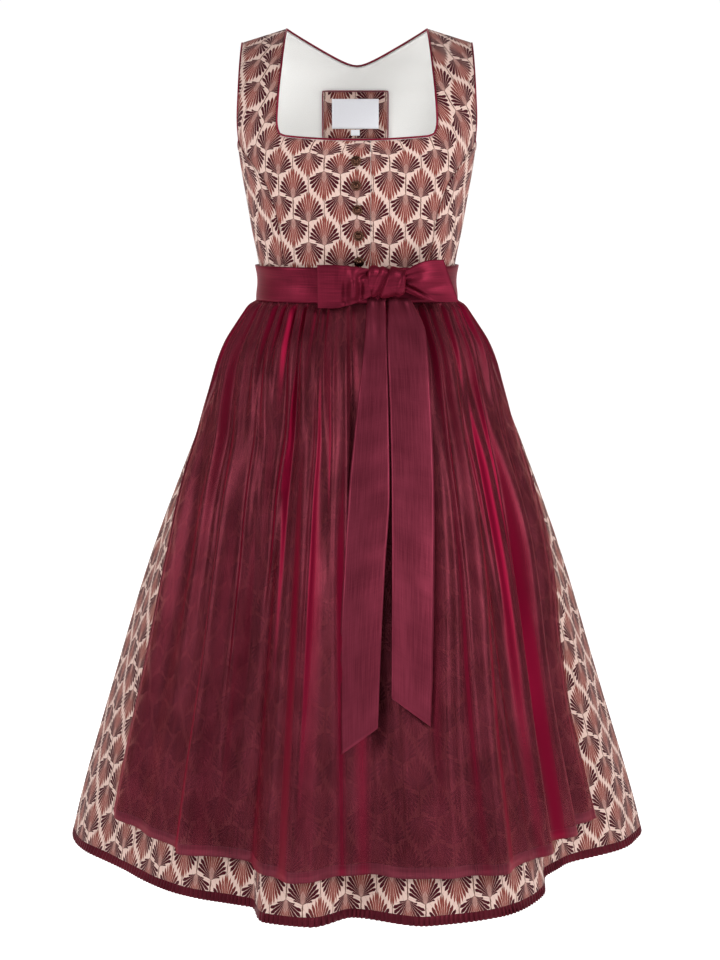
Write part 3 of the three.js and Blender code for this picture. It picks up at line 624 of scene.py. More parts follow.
def fan_column_group():
    """One column of the print: leaf fans set base to base on thick stems, tip to tip on thin ones.
    Its inputs are millimetres from the column's middle line and up the cloth."""
    tree = bpy.data.node_groups.new("leaf_fan_column", "ShaderNodeTree")
    for name in ("Across", "Up"):
        tree.interface.new_socket(name, in_out="INPUT", socket_type="NodeSocketFloat")
    for name in INKS:
        tree.interface.new_socket(name, in_out="OUTPUT", socket_type="NodeSocketFloat")
    given = add(tree, "NodeGroupInput")
    across, up = given.outputs["Across"], given.outputs["Up"]

    # Place up the fan from its base, with the lower fan of each pair turned over
    wrapped = add(tree, MATH, [up, PRINT_REPEAT / 2, -PRINT_REPEAT / 2], operation="WRAP")
    from_stem = add(tree, MATH, [wrapped], operation="ABSOLUTE")
    rise = add(tree, MATH, [from_stem, HALF_STEM], operation="SUBTRACT")
    beside = add(tree, MATH, [across], operation="ABSOLUTE")
    rise_squared = add(tree, MATH, [rise, rise], operation="MULTIPLY")
    radius_squared = add(tree, MATH, [across, across, rise_squared], operation="MULTIPLY_ADD")
    radius = add(tree, MATH, [radius_squared], operation="SQRT")

    # Which leaf: they stand further apart towards the sides, and curve outwards as they grow
    angle = add(tree, MATH, [beside, rise], operation="ARCTAN2")
    softened = add(tree, MATH, [radius, LEAF_DRAWN_IN], operation="ADD")
    drawn_in = add(tree, MATH, [radius, softened], operation="DIVIDE")
    spread = add(tree, MATH, [drawn_in, LEAF_SPREAD], operation="MULTIPLY")
    curled = add(tree, MATH, [angle, spread], operation="DIVIDE")
    under_root = add(tree, MATH, [curled, 4 * LEAF_ANGLE_GROWS, LEAF_ANGLE**2], operation="MULTIPLY_ADD")
    root = add(tree, MATH, [under_root], operation="SQRT")
    past_first = add(tree, MATH, [root, LEAF_ANGLE], operation="SUBTRACT")
    steps = add(tree, MATH, [past_first, 2 * LEAF_ANGLE_GROWS], operation="DIVIDE")
    counted = add(tree, MATH, [steps], operation="FLOOR")
    centred = add(tree, MATH, [counted, 0.5], operation="ADD")
    leaf = add(tree, MATH, [centred, OUTER_LEAF], operation="MINIMUM")
    fanned = add(tree, MATH, [steps, OUTER_LEAF + 0.5], operation="LESS_THAN")

    # Distance from the leaf's middle line, and place along it
    from_leaf = add(tree, MATH, [steps, leaf], operation="SUBTRACT")
    from_middle = add(tree, MATH, [from_leaf], operation="ABSOLUTE")
    leaf_step = add(tree, MATH, [leaf, 2 * LEAF_ANGLE_GROWS, LEAF_ANGLE], operation="MULTIPLY_ADD")
    apart = add(tree, MATH, [spread, leaf_step], operation="MULTIPLY")
    spacing = add(tree, MATH, [radius, apart], operation="MULTIPLY")
    aside = add(tree, MATH, [from_middle, spacing], operation="MULTIPLY")
    even_reach = add(tree, MATH, [leaf, -FAN_REACH_LOST, FAN_REACH], operation="MULTIPLY_ADD")
    shortened = add(tree, RAMP, [leaf, *OUTER_LEAF_SHORTENS])
    reach = add(tree, MATH, [even_reach, shortened], operation="MULTIPLY")
    share = add(tree, MATH, [radius, reach], operation="DIVIDE")

    # Teardrop: a thin foot from the fan's base, widest near a round tip
    swelling = add(tree, RAMP, [share, *LEAF_SWELLS])
    tip = add(tree, MATH, [add(tree, RAMP, [share, *LEAF_TIP])], operation="SQRT")
    outer_share = add(tree, RAMP, [leaf, *LEAF_DARKENS])
    widest = add(tree, RAMP, [outer_share, 0.0, 1.0, INNER_HALF_WIDTH, OUTER_HALF_WIDTH])
    rounded = add(tree, MATH, [swelling, tip], operation="MULTIPLY")
    wide = add(tree, MATH, [rounded, widest], operation="MULTIPLY")
    room = add(tree, MATH, [spacing, LEAF_FILL], operation="MULTIPLY")
    half_width = add(tree, MATH, [wide, room], operation="MINIMUM")
    inside = add(tree, MATH, [half_width, aside], operation="SUBTRACT")
    blade = add(tree, MATH, [add(tree, RAMP, [inside, *INK_EDGE]), fanned], operation="MULTIPLY")

    # Rust strokes in the gaps between the leaves
    from_gap = add(tree, MATH, [0.5, from_middle], operation="SUBTRACT")
    gap_distance = add(tree, MATH, [from_gap, spacing], operation="MULTIPLY")
    stroke = fanned
    for place, ramp in ((gap_distance, STROKE_ACROSS), (share, STROKE_STARTS), (share, STROKE_ENDS)):
        stroke = add(tree, MATH, [stroke, add(tree, RAMP, [place, *ramp])], operation="MULTIPLY")

    # The feet are paler, longest in the middle leaves, and run together at the base
    foot_reach = add(tree, MATH, [leaf, -FEET_REACH_LOST, FEET_REACH], operation="MULTIPLY_ADD")
    foot_left = add(tree, MATH, [foot_reach, radius], operation="SUBTRACT")
    footed = add(tree, MATH, [add(tree, RAMP, [foot_left, *FOOT_ENDS]), blade], operation="MULTIPLY")
    base = add(tree, MATH, [add(tree, RAMP, [radius, *FAN_BASE]), fanned], operation="MULTIPLY")
    foot = add(tree, MATH, [footed, base], operation="MAXIMUM")
    upper_blade = add(tree, MATH, [blade, footed], operation="SUBTRACT")
    rust = add(tree, MATH, [upper_blade, stroke], operation="MAXIMUM")
    dark = add(tree, MATH, [upper_blade, outer_share], operation="MULTIPLY")

    # The stem is thick between two bases and thin between two tips
    stems = [add(tree, RAMP, [rise, *stem]) for stem in (THICK_STEM, THIN_STEM)]
    stem_half = add(tree, MATH, stems, operation="MAXIMUM")
    stem_inside = add(tree, MATH, [stem_half, beside], operation="SUBTRACT")
    stem = add(tree, RAMP, [stem_inside, *INK_EDGE])
    add(tree, "NodeGroupOutput", [foot, stem, rust, dark])
    return tree


FAN_COLUMN = fan_column_group()


def printed_cotton(name, ground="#D6BAAF", faded=0.0):
    """Cotton poplin, printed in four inks. The ink edges are slightly ragged, the ink
    thins in patches, and the plain weave gives a dry, matt surface."""
    material, tree = new_material(name)
    in_mm = place_on_cloth(tree)
    ragged = add(tree, NOISE, {"Vector": in_mm, "Scale": 0.3, "Detail": 2.0}, **ON_CLOTH).outputs["Color"]
    wobble = add(tree, "ShaderNodeVectorMath", [ragged, (0.5, 0.5, 0.5)], operation="SUBTRACT")
    wobbled = add(tree, "ShaderNodeVectorMath", [wobble, (1.3, 1.3, 0), in_mm], operation="MULTIPLY_ADD")
    parts = add(tree, "ShaderNodeSeparateXYZ", [wobbled])

    # The fans of the column on each side
    columns = add(tree, MATH, [parts.outputs["X"], COLUMN_WIDTH], operation="DIVIDE")
    column = add(tree, MATH, [columns], operation="FLOOR")
    column_share = add(tree, MATH, [columns], operation="FRACT")
    within = add(tree, MATH, [column_share, COLUMN_WIDTH], operation="MULTIPLY")
    dropped = add(tree, MATH, [column, COLUMN_STEP, parts.outputs["Y"]], operation="MULTIPLY_ADD")
    fans = []
    for neighbour in (0, 1):
        across = add(tree, MATH, [within, neighbour * COLUMN_WIDTH], operation="SUBTRACT")
        raised = add(tree, MATH, [dropped, neighbour * COLUMN_STEP], operation="ADD")
        fans.append(add(tree, "ShaderNodeGroup", [across, raised], node_tree=FAN_COLUMN))

    # Ink thins in patches a few millimetres wide, and threads of the ground show through
    patches = add(tree, NOISE, {"Vector": in_mm, "Scale": 0.35, "Detail": 3.0}, **ON_CLOTH)
    cover = add(tree, RAMP, [patches, 0.3, 0.55, 0.965, 1.0])
    threads = add(tree, NOISE, {"Vector": in_mm, "Scale": 2.6, "Detail": 1.0}, **ON_CLOTH)
    ground_shade = add(tree, RAMP, [threads, 0.3, 0.7, 0.9, 1.05])
    coloured = add(tree, MIX, {"Factor": 1.0, "A": linear(ground), "B": ground_shade}, **TINTED)
    for ink, colour in INKS.items():
        printed = add(tree, MATH, [fan.outputs[ink] for fan in fans], operation="MAXIMUM")
        amount = add(tree, MATH, [printed, cover], operation="MULTIPLY")
        below = coloured.outputs["Result"]
        coloured = add(tree, MIX, {"Factor": amount, "A": below, "B": linear(colour)}, **BLENDED)
    if faded:
        below = coloured.outputs["Result"]
        coloured = add(tree, MIX, {"Factor": faded, "A": below, "B": linear(ground)}, **BLENDED)
    looks = {
        "Base Color": coloured.outputs["Result"],
        "Roughness": 0.82,
        "Normal": plain_weave(tree, in_mm, 0.55, 0.6, 0.25),
        "Specular IOR Level": 0.12,
        "Sheen Weight": 0.04,
    }
    add(tree, "ShaderNodeOutputMaterial", [add(tree, PRINCIPLED, looks)])
    return material


def plain_cotton(name, colour, roughness=0.85):
    """Bleached cotton batiste: matt, with fine uneven threads and faint soft shading."""
    material, tree = new_material(name)
    in_mm = place_on_cloth(tree)
    threads = add(tree, NOISE, {"Vector": in_mm, "Scale": 1.4, "Detail": 2.0}, **ON_CLOTH)
    shade = add(tree, RAMP, [threads, 0.3, 0.7, 0.95, 1.03])
    coloured = add(tree, MIX, {"Factor": 1.0, "A": linear(colour), "B": shade}, **TINTED)
    looks = {
        "Base Color": coloured.outputs["Result"],
        "Roughness": roughness,
        "Normal": plain_weave(tree, in_mm, 0.5, 0.5, 0.2),
    }
    add(tree, "ShaderNodeOutputMaterial", [add(tree, PRINCIPLED, looks)])
    return material


SLUB_STRETCH = (0.02, 0.75)


def shot_satin(name, dark, bright, sheen, sheer=0.0, slub_along=True, turned=None):
    """Shot satin, a dark weft under a crimson warp: slubs run along the weft, and its gloss and
    sheen turn crimson where the cloth bends away. A sheer one lets a little light through, each
    of its wall's two faces half of it. It is denser where its hem is folded double. Given a turned
    colour, the sides of its folds, marked by a mesh attribute, are painted that crimson and made
    denser: a painted sheen where the threads are seen edge on."""
    material, tree = new_material(name)
    in_mm = place_on_cloth(tree)
    along, over = SLUB_STRETCH if slub_along else SLUB_STRETCH[::-1]
    slub_place = add(tree, "ShaderNodeMapping", {"Vector": in_mm, "Scale": (along, over, 1)})
    slub = add(tree, NOISE, {"Vector": slub_place, "Scale": 1.0, "Detail": 3.0}, **ON_CLOTH)
    cross_place = add(tree, "ShaderNodeMapping", {"Vector": in_mm, "Scale": (over, along, 1)})
    cross = add(tree, NOISE, {"Vector": cross_place, "Scale": 1.0, "Detail": 1.0}, **ON_CLOTH)
    clouds = add(tree, NOISE, {"Vector": in_mm, "Scale": 0.02, "Detail": 2.0}, **ON_CLOTH)
    slub_share = add(tree, RAMP, [slub, 0.3, 0.7, 0.0, 0.45])
    cross_share = add(tree, RAMP, [cross, 0.35, 0.7, 0.0, 0.1])
    cloud_share = add(tree, RAMP, [clouds, 0.35, 0.65, 0.0, 0.35])
    thread_share = add(tree, MATH, [slub_share, cross_share], operation="ADD")
    share = add(tree, MATH, [thread_share, cloud_share], operation="ADD")
    coloured = add(tree, MIX, {"Factor": share, "A": linear(dark), "B": linear(bright)}, **BLENDED)
    # Painted sheen: where the mesh attribute marks the sides of folds, the base colour is mixed towards the
    # crimson turned colour
    if turned:
        fold_sheen_share = add(tree, "ShaderNodeAttribute", attribute_name=FOLD_SHEEN).outputs["Fac"]
        flat_colour = coloured.outputs["Result"]
        coloured = add(tree, MIX, {"Factor": fold_sheen_share, "A": flat_colour, "B": linear(turned)}, **BLENDED)
    relief = add(tree, MATH, [slub, cross], operation="ADD")
    looks = {
        "Base Color": coloured.outputs["Result"],
        "Roughness": 0.38,
        "Normal": add(tree, "ShaderNodeBump", {"Height": relief, "Strength": 0.14, "Distance": 0.0003}),
        "Metallic": 0.5,
        "Specular IOR Level": 0.28,
        "Specular Tint": linear(sheen),
        "Sheen Weight": 0.45,
        "Sheen Roughness": 0.45,
        "Sheen Tint": linear(sheen),
    }
    shader = add(tree, PRINCIPLED, looks)
    if sheer:
        open_share = math.sqrt(sheer)
        seen_through = add(tree, "ShaderNodeBsdfTransparent", {"Color": linear("#F0D0D0")})
        up = add(tree, "ShaderNodeSeparateXYZ", [in_mm]).outputs["Y"]
        hem_top = (APRON_HEM_FOLD - 0.5, APRON_HEM_FOLD + 0.5)
        above_hem = add(tree, RAMP, [up, *hem_top, 0.35 * open_share, open_share])
        # The painted fold sheen also makes the sides of folds less see-through
        left_open = add(tree, RAMP, [fold_sheen_share, 0.0, 1.0, 1.0, 0.15])
        opened = add(tree, MATH, [above_hem, left_open], operation="MULTIPLY")
        shader = add(tree, "ShaderNodeMixShader", {"Fac": opened, 1: shader, 2: seen_through})
    add(tree, "ShaderNodeOutputMaterial", [shader])
    return material


def antique_metal(name):
    """Cast zinc with a dark bronze finish, mottled dark and worn brighter in a fine random grain."""
    material, tree = new_material(name)
    place = add(tree, "ShaderNodeTexCoord").outputs["Object"]
    grain = add(tree, NOISE, {"Vector": place, "Scale": 2500.0, "Detail": 3.0})
    worn = add(tree, RAMP, [grain, 0.3, 0.7, 0.1, 0.6])
    coloured = add(tree, MIX, {"Factor": worn, "A": linear("#2E1812"), "B": linear("#7E5A4A")}, **BLENDED)
    looks = {
        "Base Color": coloured.outputs["Result"],
        "Metallic": 1.0,
        "Roughness": add(tree, RAMP, [grain, 0.3, 0.7, 0.24, 0.12]),
        "Normal": add(tree, "ShaderNodeBump", {"Height": grain, "Strength": 0.2, "Distance": 0.0001}),
    }
    add(tree, "ShaderNodeOutputMaterial", [add(tree, PRINCIPLED, looks)])
    return material


def sewing_thread(name, colour):
    """Polyester sewing thread: a slight twist and a soft gloss."""
    material, tree = new_material(name)
    place = add(tree, "ShaderNodeTexCoord").outputs["Object"]
    twist = add(tree, NOISE, {"Vector": place, "Scale": 1500.0, "Detail": 1.0})
    shade = add(tree, RAMP, [twist, 0.3, 0.7, 0.8, 1.15])
    coloured = add(tree, MIX, {"Factor": 1.0, "A": linear(colour), "B": shade}, **TINTED)
    looks = {"Base Color": coloured.outputs["Result"], "Roughness": 0.5}
    add(tree, "ShaderNodeOutputMaterial", [add(tree, PRINCIPLED, looks)])
    return material


PRINT = printed_cotton("printed_cotton_poplin")
PRINT_REVERSE = printed_cotton("printed_cotton_wrong_side", ground="#E9D8CE", faded=0.55)
LINING = plain_cotton("lining_cotton_batiste", "#FAFAF8")
LABEL = plain_cotton("label_woven_satin", "#F3F4FB", roughness=0.5)
TIE_SATIN = shot_satin("tie_shot_satin", "#4A1320", "#762034", "#B01638")
TAIL_SATIN = shot_satin("tail_shot_satin", "#5A1F2C", "#7C3041", "#B01A3C", slub_along=False)
# The apron's fold sides are painted crimson with the turned colour: a painted sheen
APRON_SATIN = shot_satin(
    "apron_sheer_satin",
    "#4A2028",
    "#803846",
    "#D01048",
    sheer=0.24,
    slub_along=False,
    turned="#6E0B26",
)
FRILL_SATIN = shot_satin("frill_satin", "#451720", "#5E212B", "#8C1A30", slub_along=False)
PIPING = shot_satin("bias_piping_satin", "#64192A", "#86283B", "#A01A38")
METAL = antique_metal("antique_bronze_metal")
THREAD = sewing_thread("burgundy_thread", "#4A1420")

PRINTED = [PRINT, LINING, PRINT]
UNLINED = [PRINT, PRINT_REVERSE, PRINT]


def declare(piece, replaces=None):
    """Hides the part of model.glb that a sheet of cloth stands in for."""
    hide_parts(replaces or piece.name.removesuffix("_cloth"))


# Bodice fronts
NECK_COLUMNS = 22
CORNER_COLUMNS = 5
STRAP_COLUMNS = 12
FIRST_STRAP_COLUMN = NECK_COLUMNS + CORNER_COLUMNS
TOP_BODY_ROW = 44
STRAP_ROWS = 34
STRAP_GRAIN_TURN = math.radians(34)
STRAP_GRAIN_FROM = 150
STRAP_GRAIN_OVER = 90
STRAP_GRAIN_PIVOT = (112, 175)
SIDE_PRINT_SHIFT = (7, 31)


def neck_height(across):
    corner = np.clip((across - NECK_FLAT) / (NECK_CORNER_ACROSS - NECK_FLAT), 0, 1)
    return NECK_CENTRE + NECK_RISE * (across / NECK_FLAT) ** 2 + NECK_CORNER_RISE * corner**2


def strap_inner(height):
    """The strap's neck edge, with its foot rounded into the neckline."""
    rounding = read(STRAP_INNER, "across", STRAP_START) - NECK_CORNER_ACROSS
    return read(STRAP_INNER, "across", height) - rounding * np.exp(-(height - STRAP_START) / 6)


def arc_from_middle(across, height, side):
    """Length along the cloth from the middle of the body."""
    shares = np.linspace(0, 1, 17)
    cut = body_at_width(np.abs(across)[..., None] * shares, height[..., None], side)
    return np.linalg.norm(np.diff(cut, axis=-2), axis=-1).sum(-1) * np.sign(across)


def front_sheet(side):
    start = side * PLACKET_EDGE + SEAM_GAP / 2
    neck = np.linspace(start, NECK_FLAT, NECK_COLUMNS + 1)
    corner = np.linspace(NECK_FLAT, NECK_CORNER_ACROSS, CORNER_COLUMNS + 1)[1:-1]
    strap_edge = panel_edge(STRAP_START, "front")
    strap = np.linspace(NECK_CORNER_ACROSS, strap_edge, STRAP_COLUMNS + 1)
    across = np.concatenate([neck, corner, strap])
    top = np.where(across > NECK_CORNER_ACROSS, STRAP_START, neck_height(across))
    level = np.linspace(0, 1, TOP_BODY_ROW + 1)[:, None]
    body_height = level * top
    edge = panel_edge(body_height, "front") - SEAM_GAP / 2
    body_across = side * lerp(start, edge, (across - start) / (strap_edge - start))
    rise = np.linspace(0, 1, STRAP_ROWS + 1)[1:, None]
    strap_height = lerp(STRAP_START, STRAP_TOP, 1 - (1 - rise) ** 1.4)
    share = (np.arange(len(across)) - FIRST_STRAP_COLUMN) / STRAP_COLUMNS
    outer = panel_edge(strap_height, "front") - SEAM_GAP / 2
    strap_across = side * lerp(strap_inner(strap_height), outer, share)
    all_across = np.concatenate([body_across, strap_across])
    all_height = np.concatenate([body_height, np.broadcast_to(strap_height, strap_across.shape)])
    sheet = body_at_width(all_across, all_height, -1, -1)
    keep = np.ones(sheet.shape[:2], bool)
    keep[TOP_BODY_ROW + 1 :, :FIRST_STRAP_COLUMN] = False
    return sheet, keep, front_uv(sheet, all_across, all_height, side)


def front_uv(sheet, across, height, side):
    """The print stands upright on the bodice and leans outwards on the straps."""
    up = column_lengths(sheet)[:, FIRST_STRAP_COLUMN + STRAP_COLUMNS // 2]
    u = arc_from_middle(across, height, -1)
    v = np.where(height <= STRAP_START, height * up[TOP_BODY_ROW] / STRAP_START, up[:, None])
    turn = side * STRAP_GRAIN_TURN * smooth((height - STRAP_GRAIN_FROM) / STRAP_GRAIN_OVER)
    pivot_u, pivot_v = side * STRAP_GRAIN_PIVOT[0], STRAP_GRAIN_PIVOT[1]
    du, dv = u - pivot_u, v - pivot_v
    turned_u = pivot_u + du * np.cos(turn) + dv * np.sin(turn)
    turned_v = pivot_v - du * np.sin(turn) + dv * np.cos(turn)
    return np.stack([turned_u, turned_v], -1)


def flipped(*grids):
    return [grid[:, ::-1] for grid in grids]


fronts = {}
for hand, side in (("left", 1), ("right", -1)):
    sheet, keep, uv = front_sheet(side)
    fronts[hand] = (sheet, keep)
    if side < 0:
        sheet, keep, uv = flipped(sheet, keep, uv)
    front = cloth_wall(f"bodice_front_{hand}_cloth", sheet, uv, BODICE_CLOTH, PRINTED, keep)
    declare(front)

# Bodice sides
SIDE_COLUMNS = 20
SIDE_ROWS = 44


def side_sheet(face):
    level = np.linspace(0, ARMHOLE_JOIN, SIDE_ROWS + 1)[:, None]
    share = np.linspace(0, 1, SIDE_COLUMNS + 1)[None, :]
    seam = angle_of_width(panel_edge(level, face) + SEAM_GAP / 2, level)
    height = level * lerp(1, ARMHOLE_LOW / ARMHOLE_JOIN, smooth(share))
    angle = lerp(seam, 90, share)
    sheet = body_at_angle(angle if face == "front" else 180 - angle, height)
    sheet[:, -1, 1] = (-1 if face == "front" else 1) * SEAM_GAP / 2
    return sheet


def other_side(sheet):
    return sheet * (-1, 1, 1)


side_front, side_back = side_sheet("front"), side_sheet("back")
side_panels = {
    "side_front_left": side_front,
    "side_front_right": other_side(side_front)[:, ::-1],
    "side_back_left": side_back[:, ::-1],
    "side_back_right": other_side(side_back),
}
for name, sheet in side_panels.items():
    uv = straight_uv(sheet) + SIDE_PRINT_SHIFT
    panel = cloth_wall(f"bodice_{name}_cloth", sheet, uv, BODICE_CLOTH, PRINTED)
    declare(panel)

# Bodice back
BACK_COLUMNS = 48
BACK_ROWS = 80


def back_top(across):
    def bend(width):
        return np.hypot(width, BACK_V_ROUNDING) - BACK_V_ROUNDING

    share = bend(np.minimum(np.abs(across), STRAP_INNER_TOP)) / bend(STRAP_INNER_TOP)
    return lerp(BACK_V_HEIGHT, STRAP_TOP, share)


def back_sheet():
    share = np.linspace(1, -1, BACK_COLUMNS + 1)[None, :]
    below = np.linspace(0, 1, BACK_ROWS // 2 + 1)
    above = 2 - (1 - np.linspace(0, 1, BACK_ROWS // 2 + 1)[1:]) ** 1.5
    rise = np.concatenate([below, above])[:, None]
    top = back_top(share * STRAP_OUTER_TOP)
    height = np.where(rise <= 1, rise * ARMHOLE_JOIN, lerp(ARMHOLE_JOIN, top, rise - 1))
    across = share * (panel_edge(height, "back") - SEAM_GAP / 2)
    sheet = body_at_width(across, height, 1)
    up = column_lengths(sheet)[:, [BACK_COLUMNS // 2]]
    return sheet, np.stack([-arc_from_middle(across, height, 1), np.broadcast_to(up, across.shape)], -1)


back, back_uv = back_sheet()
bodice_back = cloth_wall("bodice_back_cloth", back, back_uv, BODICE_CLOTH, PRINTED)
declare(bodice_back)

# Lining of the back, and the label patch, the bare label and the bare tab sewn on it
LINING_HEM = 0.3
lined = moved_out(back, -LINING_GAP - LINING_CLOTH)
lined[-1] = lerp(lined[-1], lined[-2], 0.5)
lined[:, 0] = lerp(lined[:, 0], lined[:, 1], LINING_HEM)
lined[:, -1] = lerp(lined[:, -1], lined[:, -2], LINING_HEM)
lining = cloth_wall("back_lining_cloth", lined, back_uv, LINING_CLOTH, [LINING] * 3)
declare(lining)

LABEL_MIDDLE = -2
LABEL_CLOTH = 0.5
PATCH_CLOTH = 0.8
PATCH_PIPING_RADIUS = 0.8


def inside_back(height, wide, tall, depth, columns=20, rows=14):
    level = np.linspace(height - tall / 2, height + tall / 2, rows + 1)[:, None]
    across = LABEL_MIDDLE + np.linspace(wide / 2, -wide / 2, columns + 1)[None, :]
    across, level = np.broadcast_arrays(across, level)
    return moved_out(body_at_width(across, level, 1), -depth)


LABELS = {
    "label_patch": (inside_back(224.5, 80, 59, 4.8), PATCH_CLOTH, PRINT, "print", (0.08, 0.06)),
    "label": (inside_back(226, 59, 38, 6), LABEL_CLOTH, LABEL, "label", (0.059, 0.038)),
    "size_tab": (inside_back(202, 11, 7.5, 6, 6, 5), LABEL_CLOTH, LABEL, "label", (0.011, 0.01)),
}
for name, (sheet, thickness, material, slot, flat) in LABELS.items():
    piece = cloth_wall(f"{name}_cloth", sheet, straight_uv(sheet), thickness, [material] * 3)
    declare(piece)


# Piping
def rim(sheet, thickness, picked, keep=None):
    """Middle of the cloth along a cut edge, and its outward direction."""
    out = sheet_normals(sheet, keep)[picked]
    return sheet[picked] + out * thickness / 2, out


def joined(*rims):
    return np.concatenate([r[0] for r in rims]), np.concatenate([r[1] for r in rims])


def mirrored_rim(edge):
    return edge[0][::-1] * (-1, 1, 1), edge[1][::-1] * (-1, 1, 1)


def neck_rim(sheet, keep):
    last = len(sheet)
    rows = [TOP_BODY_ROW] * (FIRST_STRAP_COLUMN + 1) + list(range(TOP_BODY_ROW + 1, last))
    columns = list(range(FIRST_STRAP_COLUMN + 1)) + [FIRST_STRAP_COLUMN] * (last - TOP_BODY_ROW - 1)
    return rim(sheet, BODICE_CLOTH, (rows, columns), keep)


right_front = other_side(fronts["right"][0])
left_front, left_keep = fronts["left"]
back_neck = np.arange(9, BACK_COLUMNS - 8)
neck_path = joined(
    mirrored_rim(neck_rim(right_front, fronts["right"][1])),
    tuple(part[1:] for part in neck_rim(left_front, left_keep)),
    rim(back, BODICE_CLOTH, (np.full(len(back_neck), BACK_ROWS), back_neck)),
)
piping = cord_round("piping_neck_cord", *neck_path, PIPING_RADIUS, PIPING)
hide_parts("piping_neck")

ABOVE_ARMHOLE_JOIN = 3
outer_heights = left_front[:, -1, 2]
armhole_front_rows = np.flatnonzero(outer_heights > ARMHOLE_JOIN + ABOVE_ARMHOLE_JOIN)[::-1]
armhole_back_rows = np.arange(BACK_ROWS // 2 + 1, BACK_ROWS)
side_columns = np.arange(SIDE_COLUMNS + 1)
armhole_path = joined(
    rim(left_front, BODICE_CLOTH, (armhole_front_rows, np.full(len(armhole_front_rows), -1)), left_keep),
    rim(side_front, BODICE_CLOTH, (np.full(len(side_columns), SIDE_ROWS), side_columns)),
    rim(side_back[:, ::-1], BODICE_CLOTH, (np.full(SIDE_COLUMNS, SIDE_ROWS), side_columns[1:])),
    rim(back, BODICE_CLOTH, (armhole_back_rows, np.zeros(len(armhole_back_rows), int))),
)
for hand, path in (("left", armhole_path), ("right", mirrored_rim(armhole_path))):
    piping = cord_round(f"piping_armhole_{hand}_cord", *path, PIPING_RADIUS, PIPING)
    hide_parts(f"piping_armhole_{hand}")


def all_round(sheet):
    """Rows and columns round a whole sheet: along its top, down, back along its foot, and up."""
    rows, columns = sheet.shape[0] - 1, sheet.shape[1] - 1
    along = [(rows, column) for column in range(columns + 1)]
    down = [(row, columns) for row in range(rows - 1, -1, -1)]
    back_along = [(0, column) for column in range(columns - 1, -1, -1)]
    up = [(row, 0) for row in range(1, rows)]
    return tuple(np.array(along + down + back_along + up).T)


patch = LABELS["label_patch"][0]
patch_rim = rim(patch, PATCH_CLOTH, all_round(patch))
piping = cord_round("label_piping_cord", *patch_rim, PATCH_PIPING_RADIUS, PIPING)
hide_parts("label_piping")

# Buttons: a ball in a scalloped ring
BUTTONS = table("height across", (165.5, -1), (137.5, -1), (109, 0.5), (78.5, 2), (48, 2.5))
BUTTON_PROFILE = table(
    "reach rise",
    (0, 0),
    (5.4, 0),
    (5.9, 0.5),
    (5.5, 1.1),
    (4.6, 1.0),
    (4.0, 1.3),
    (3.9, 2.0),
    (3.6, 3.0),
    (3.0, 3.9),
    (2.0, 4.6),
    (1.0, 4.95),
    (0, 5.0),
)
BUTTON_SIDES = 40
BUTTON_SCALLOPS = 10
BUTTON_SCALLOP_DEPTH = 0.07
BUTTON_BALL_REACH = 4.4
BUTTON_SEAT = 2.3


def button(name, height, across):
    low, high = (body_at_width(across, height + step, -1) for step in (-10.0, 10.0))
    upright = (high - low) / np.linalg.norm(high - low)
    outwards = np.cross((1, 0, 0), upright)
    seat = body_at_width(across, height, -1) + outwards * BUTTON_SEAT
    turn = np.arange(BUTTON_SIDES) * 2 * math.pi / BUTTON_SIDES
    reach, rise = BUTTON_PROFILE["reach"][:, None], BUTTON_PROFILE["rise"][:, None]
    scallop = BUTTON_SCALLOP_DEPTH * np.abs(np.cos(turn * BUTTON_SCALLOPS / 2))
    ringed = 1 + (reach > BUTTON_BALL_REACH) * scallop
    x, up = reach * ringed * np.cos(turn), reach * ringed * np.sin(turn)
    vertices = seat + x[..., None] * (1, 0, 0) + up[..., None] * upright + rise[..., None] * outwards
    rings = len(reach)
    number = np.arange(rings * BUTTON_SIDES).reshape(rings, BUTTON_SIDES)
    after = np.roll(number, -1, axis=1)
    faces = np.stack([number[:-1], number[1:], after[1:], after[:-1]], -1).reshape(-1, 4)
    uv = np.stack([x, up], -1).reshape(-1, 2)
    count = len(faces)
    vertices = vertices.reshape(-1, 3)
    made = new_piece(name, vertices, faces[:, ::-1], uv, np.zeros(count), [METAL], np.ones(count))
    close_poles(made)
    return made


def close_poles(piece):
    solid = bmesh.new()
    solid.from_mesh(piece.data)
    bmesh.ops.remove_doubles(solid, verts=solid.verts, dist=1e-6)
    bmesh.ops.recalc_face_normals(solid, faces=solid.faces)
    solid.to_mesh(piece.data)
    solid.free()


for number, (height, across) in enumerate(zip(BUTTONS["height"], BUTTONS["across"]), 1):
    made = button(f"button_{number}_metal", height, across)
    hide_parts(f"button_{number}")

# Skirt panels
SKIRT_PANELS = {"front": (-90, 90), "back_left": (90, 180), "back_right": (180, 270)}
SKIRT_ROWS = 84
DEGREES_PER_COLUMN = 0.8
SEAM_ANGLE = 0.06


def skirt_crease(turn, height):
    """Fine gathers under the waist seam, and soft uneven ripples lower down."""
    degrees = np.where(turn > 180, turn - 360, turn)
    gathers = 1.1 * smooth(-height / 12) * (1 - smooth((height + 30) / -110))
    fine = np.cos(np.radians(degrees * 72) + 1.7 * np.sin(np.radians(degrees * 5)))
    ripple = 1.3 * smooth(-height / 200) * np.sin(np.radians(degrees * 17) + height / 130)
    return gathers * fine + ripple * (0.4 + 0.6 * smooth((np.abs(degrees) - 70) / 20))


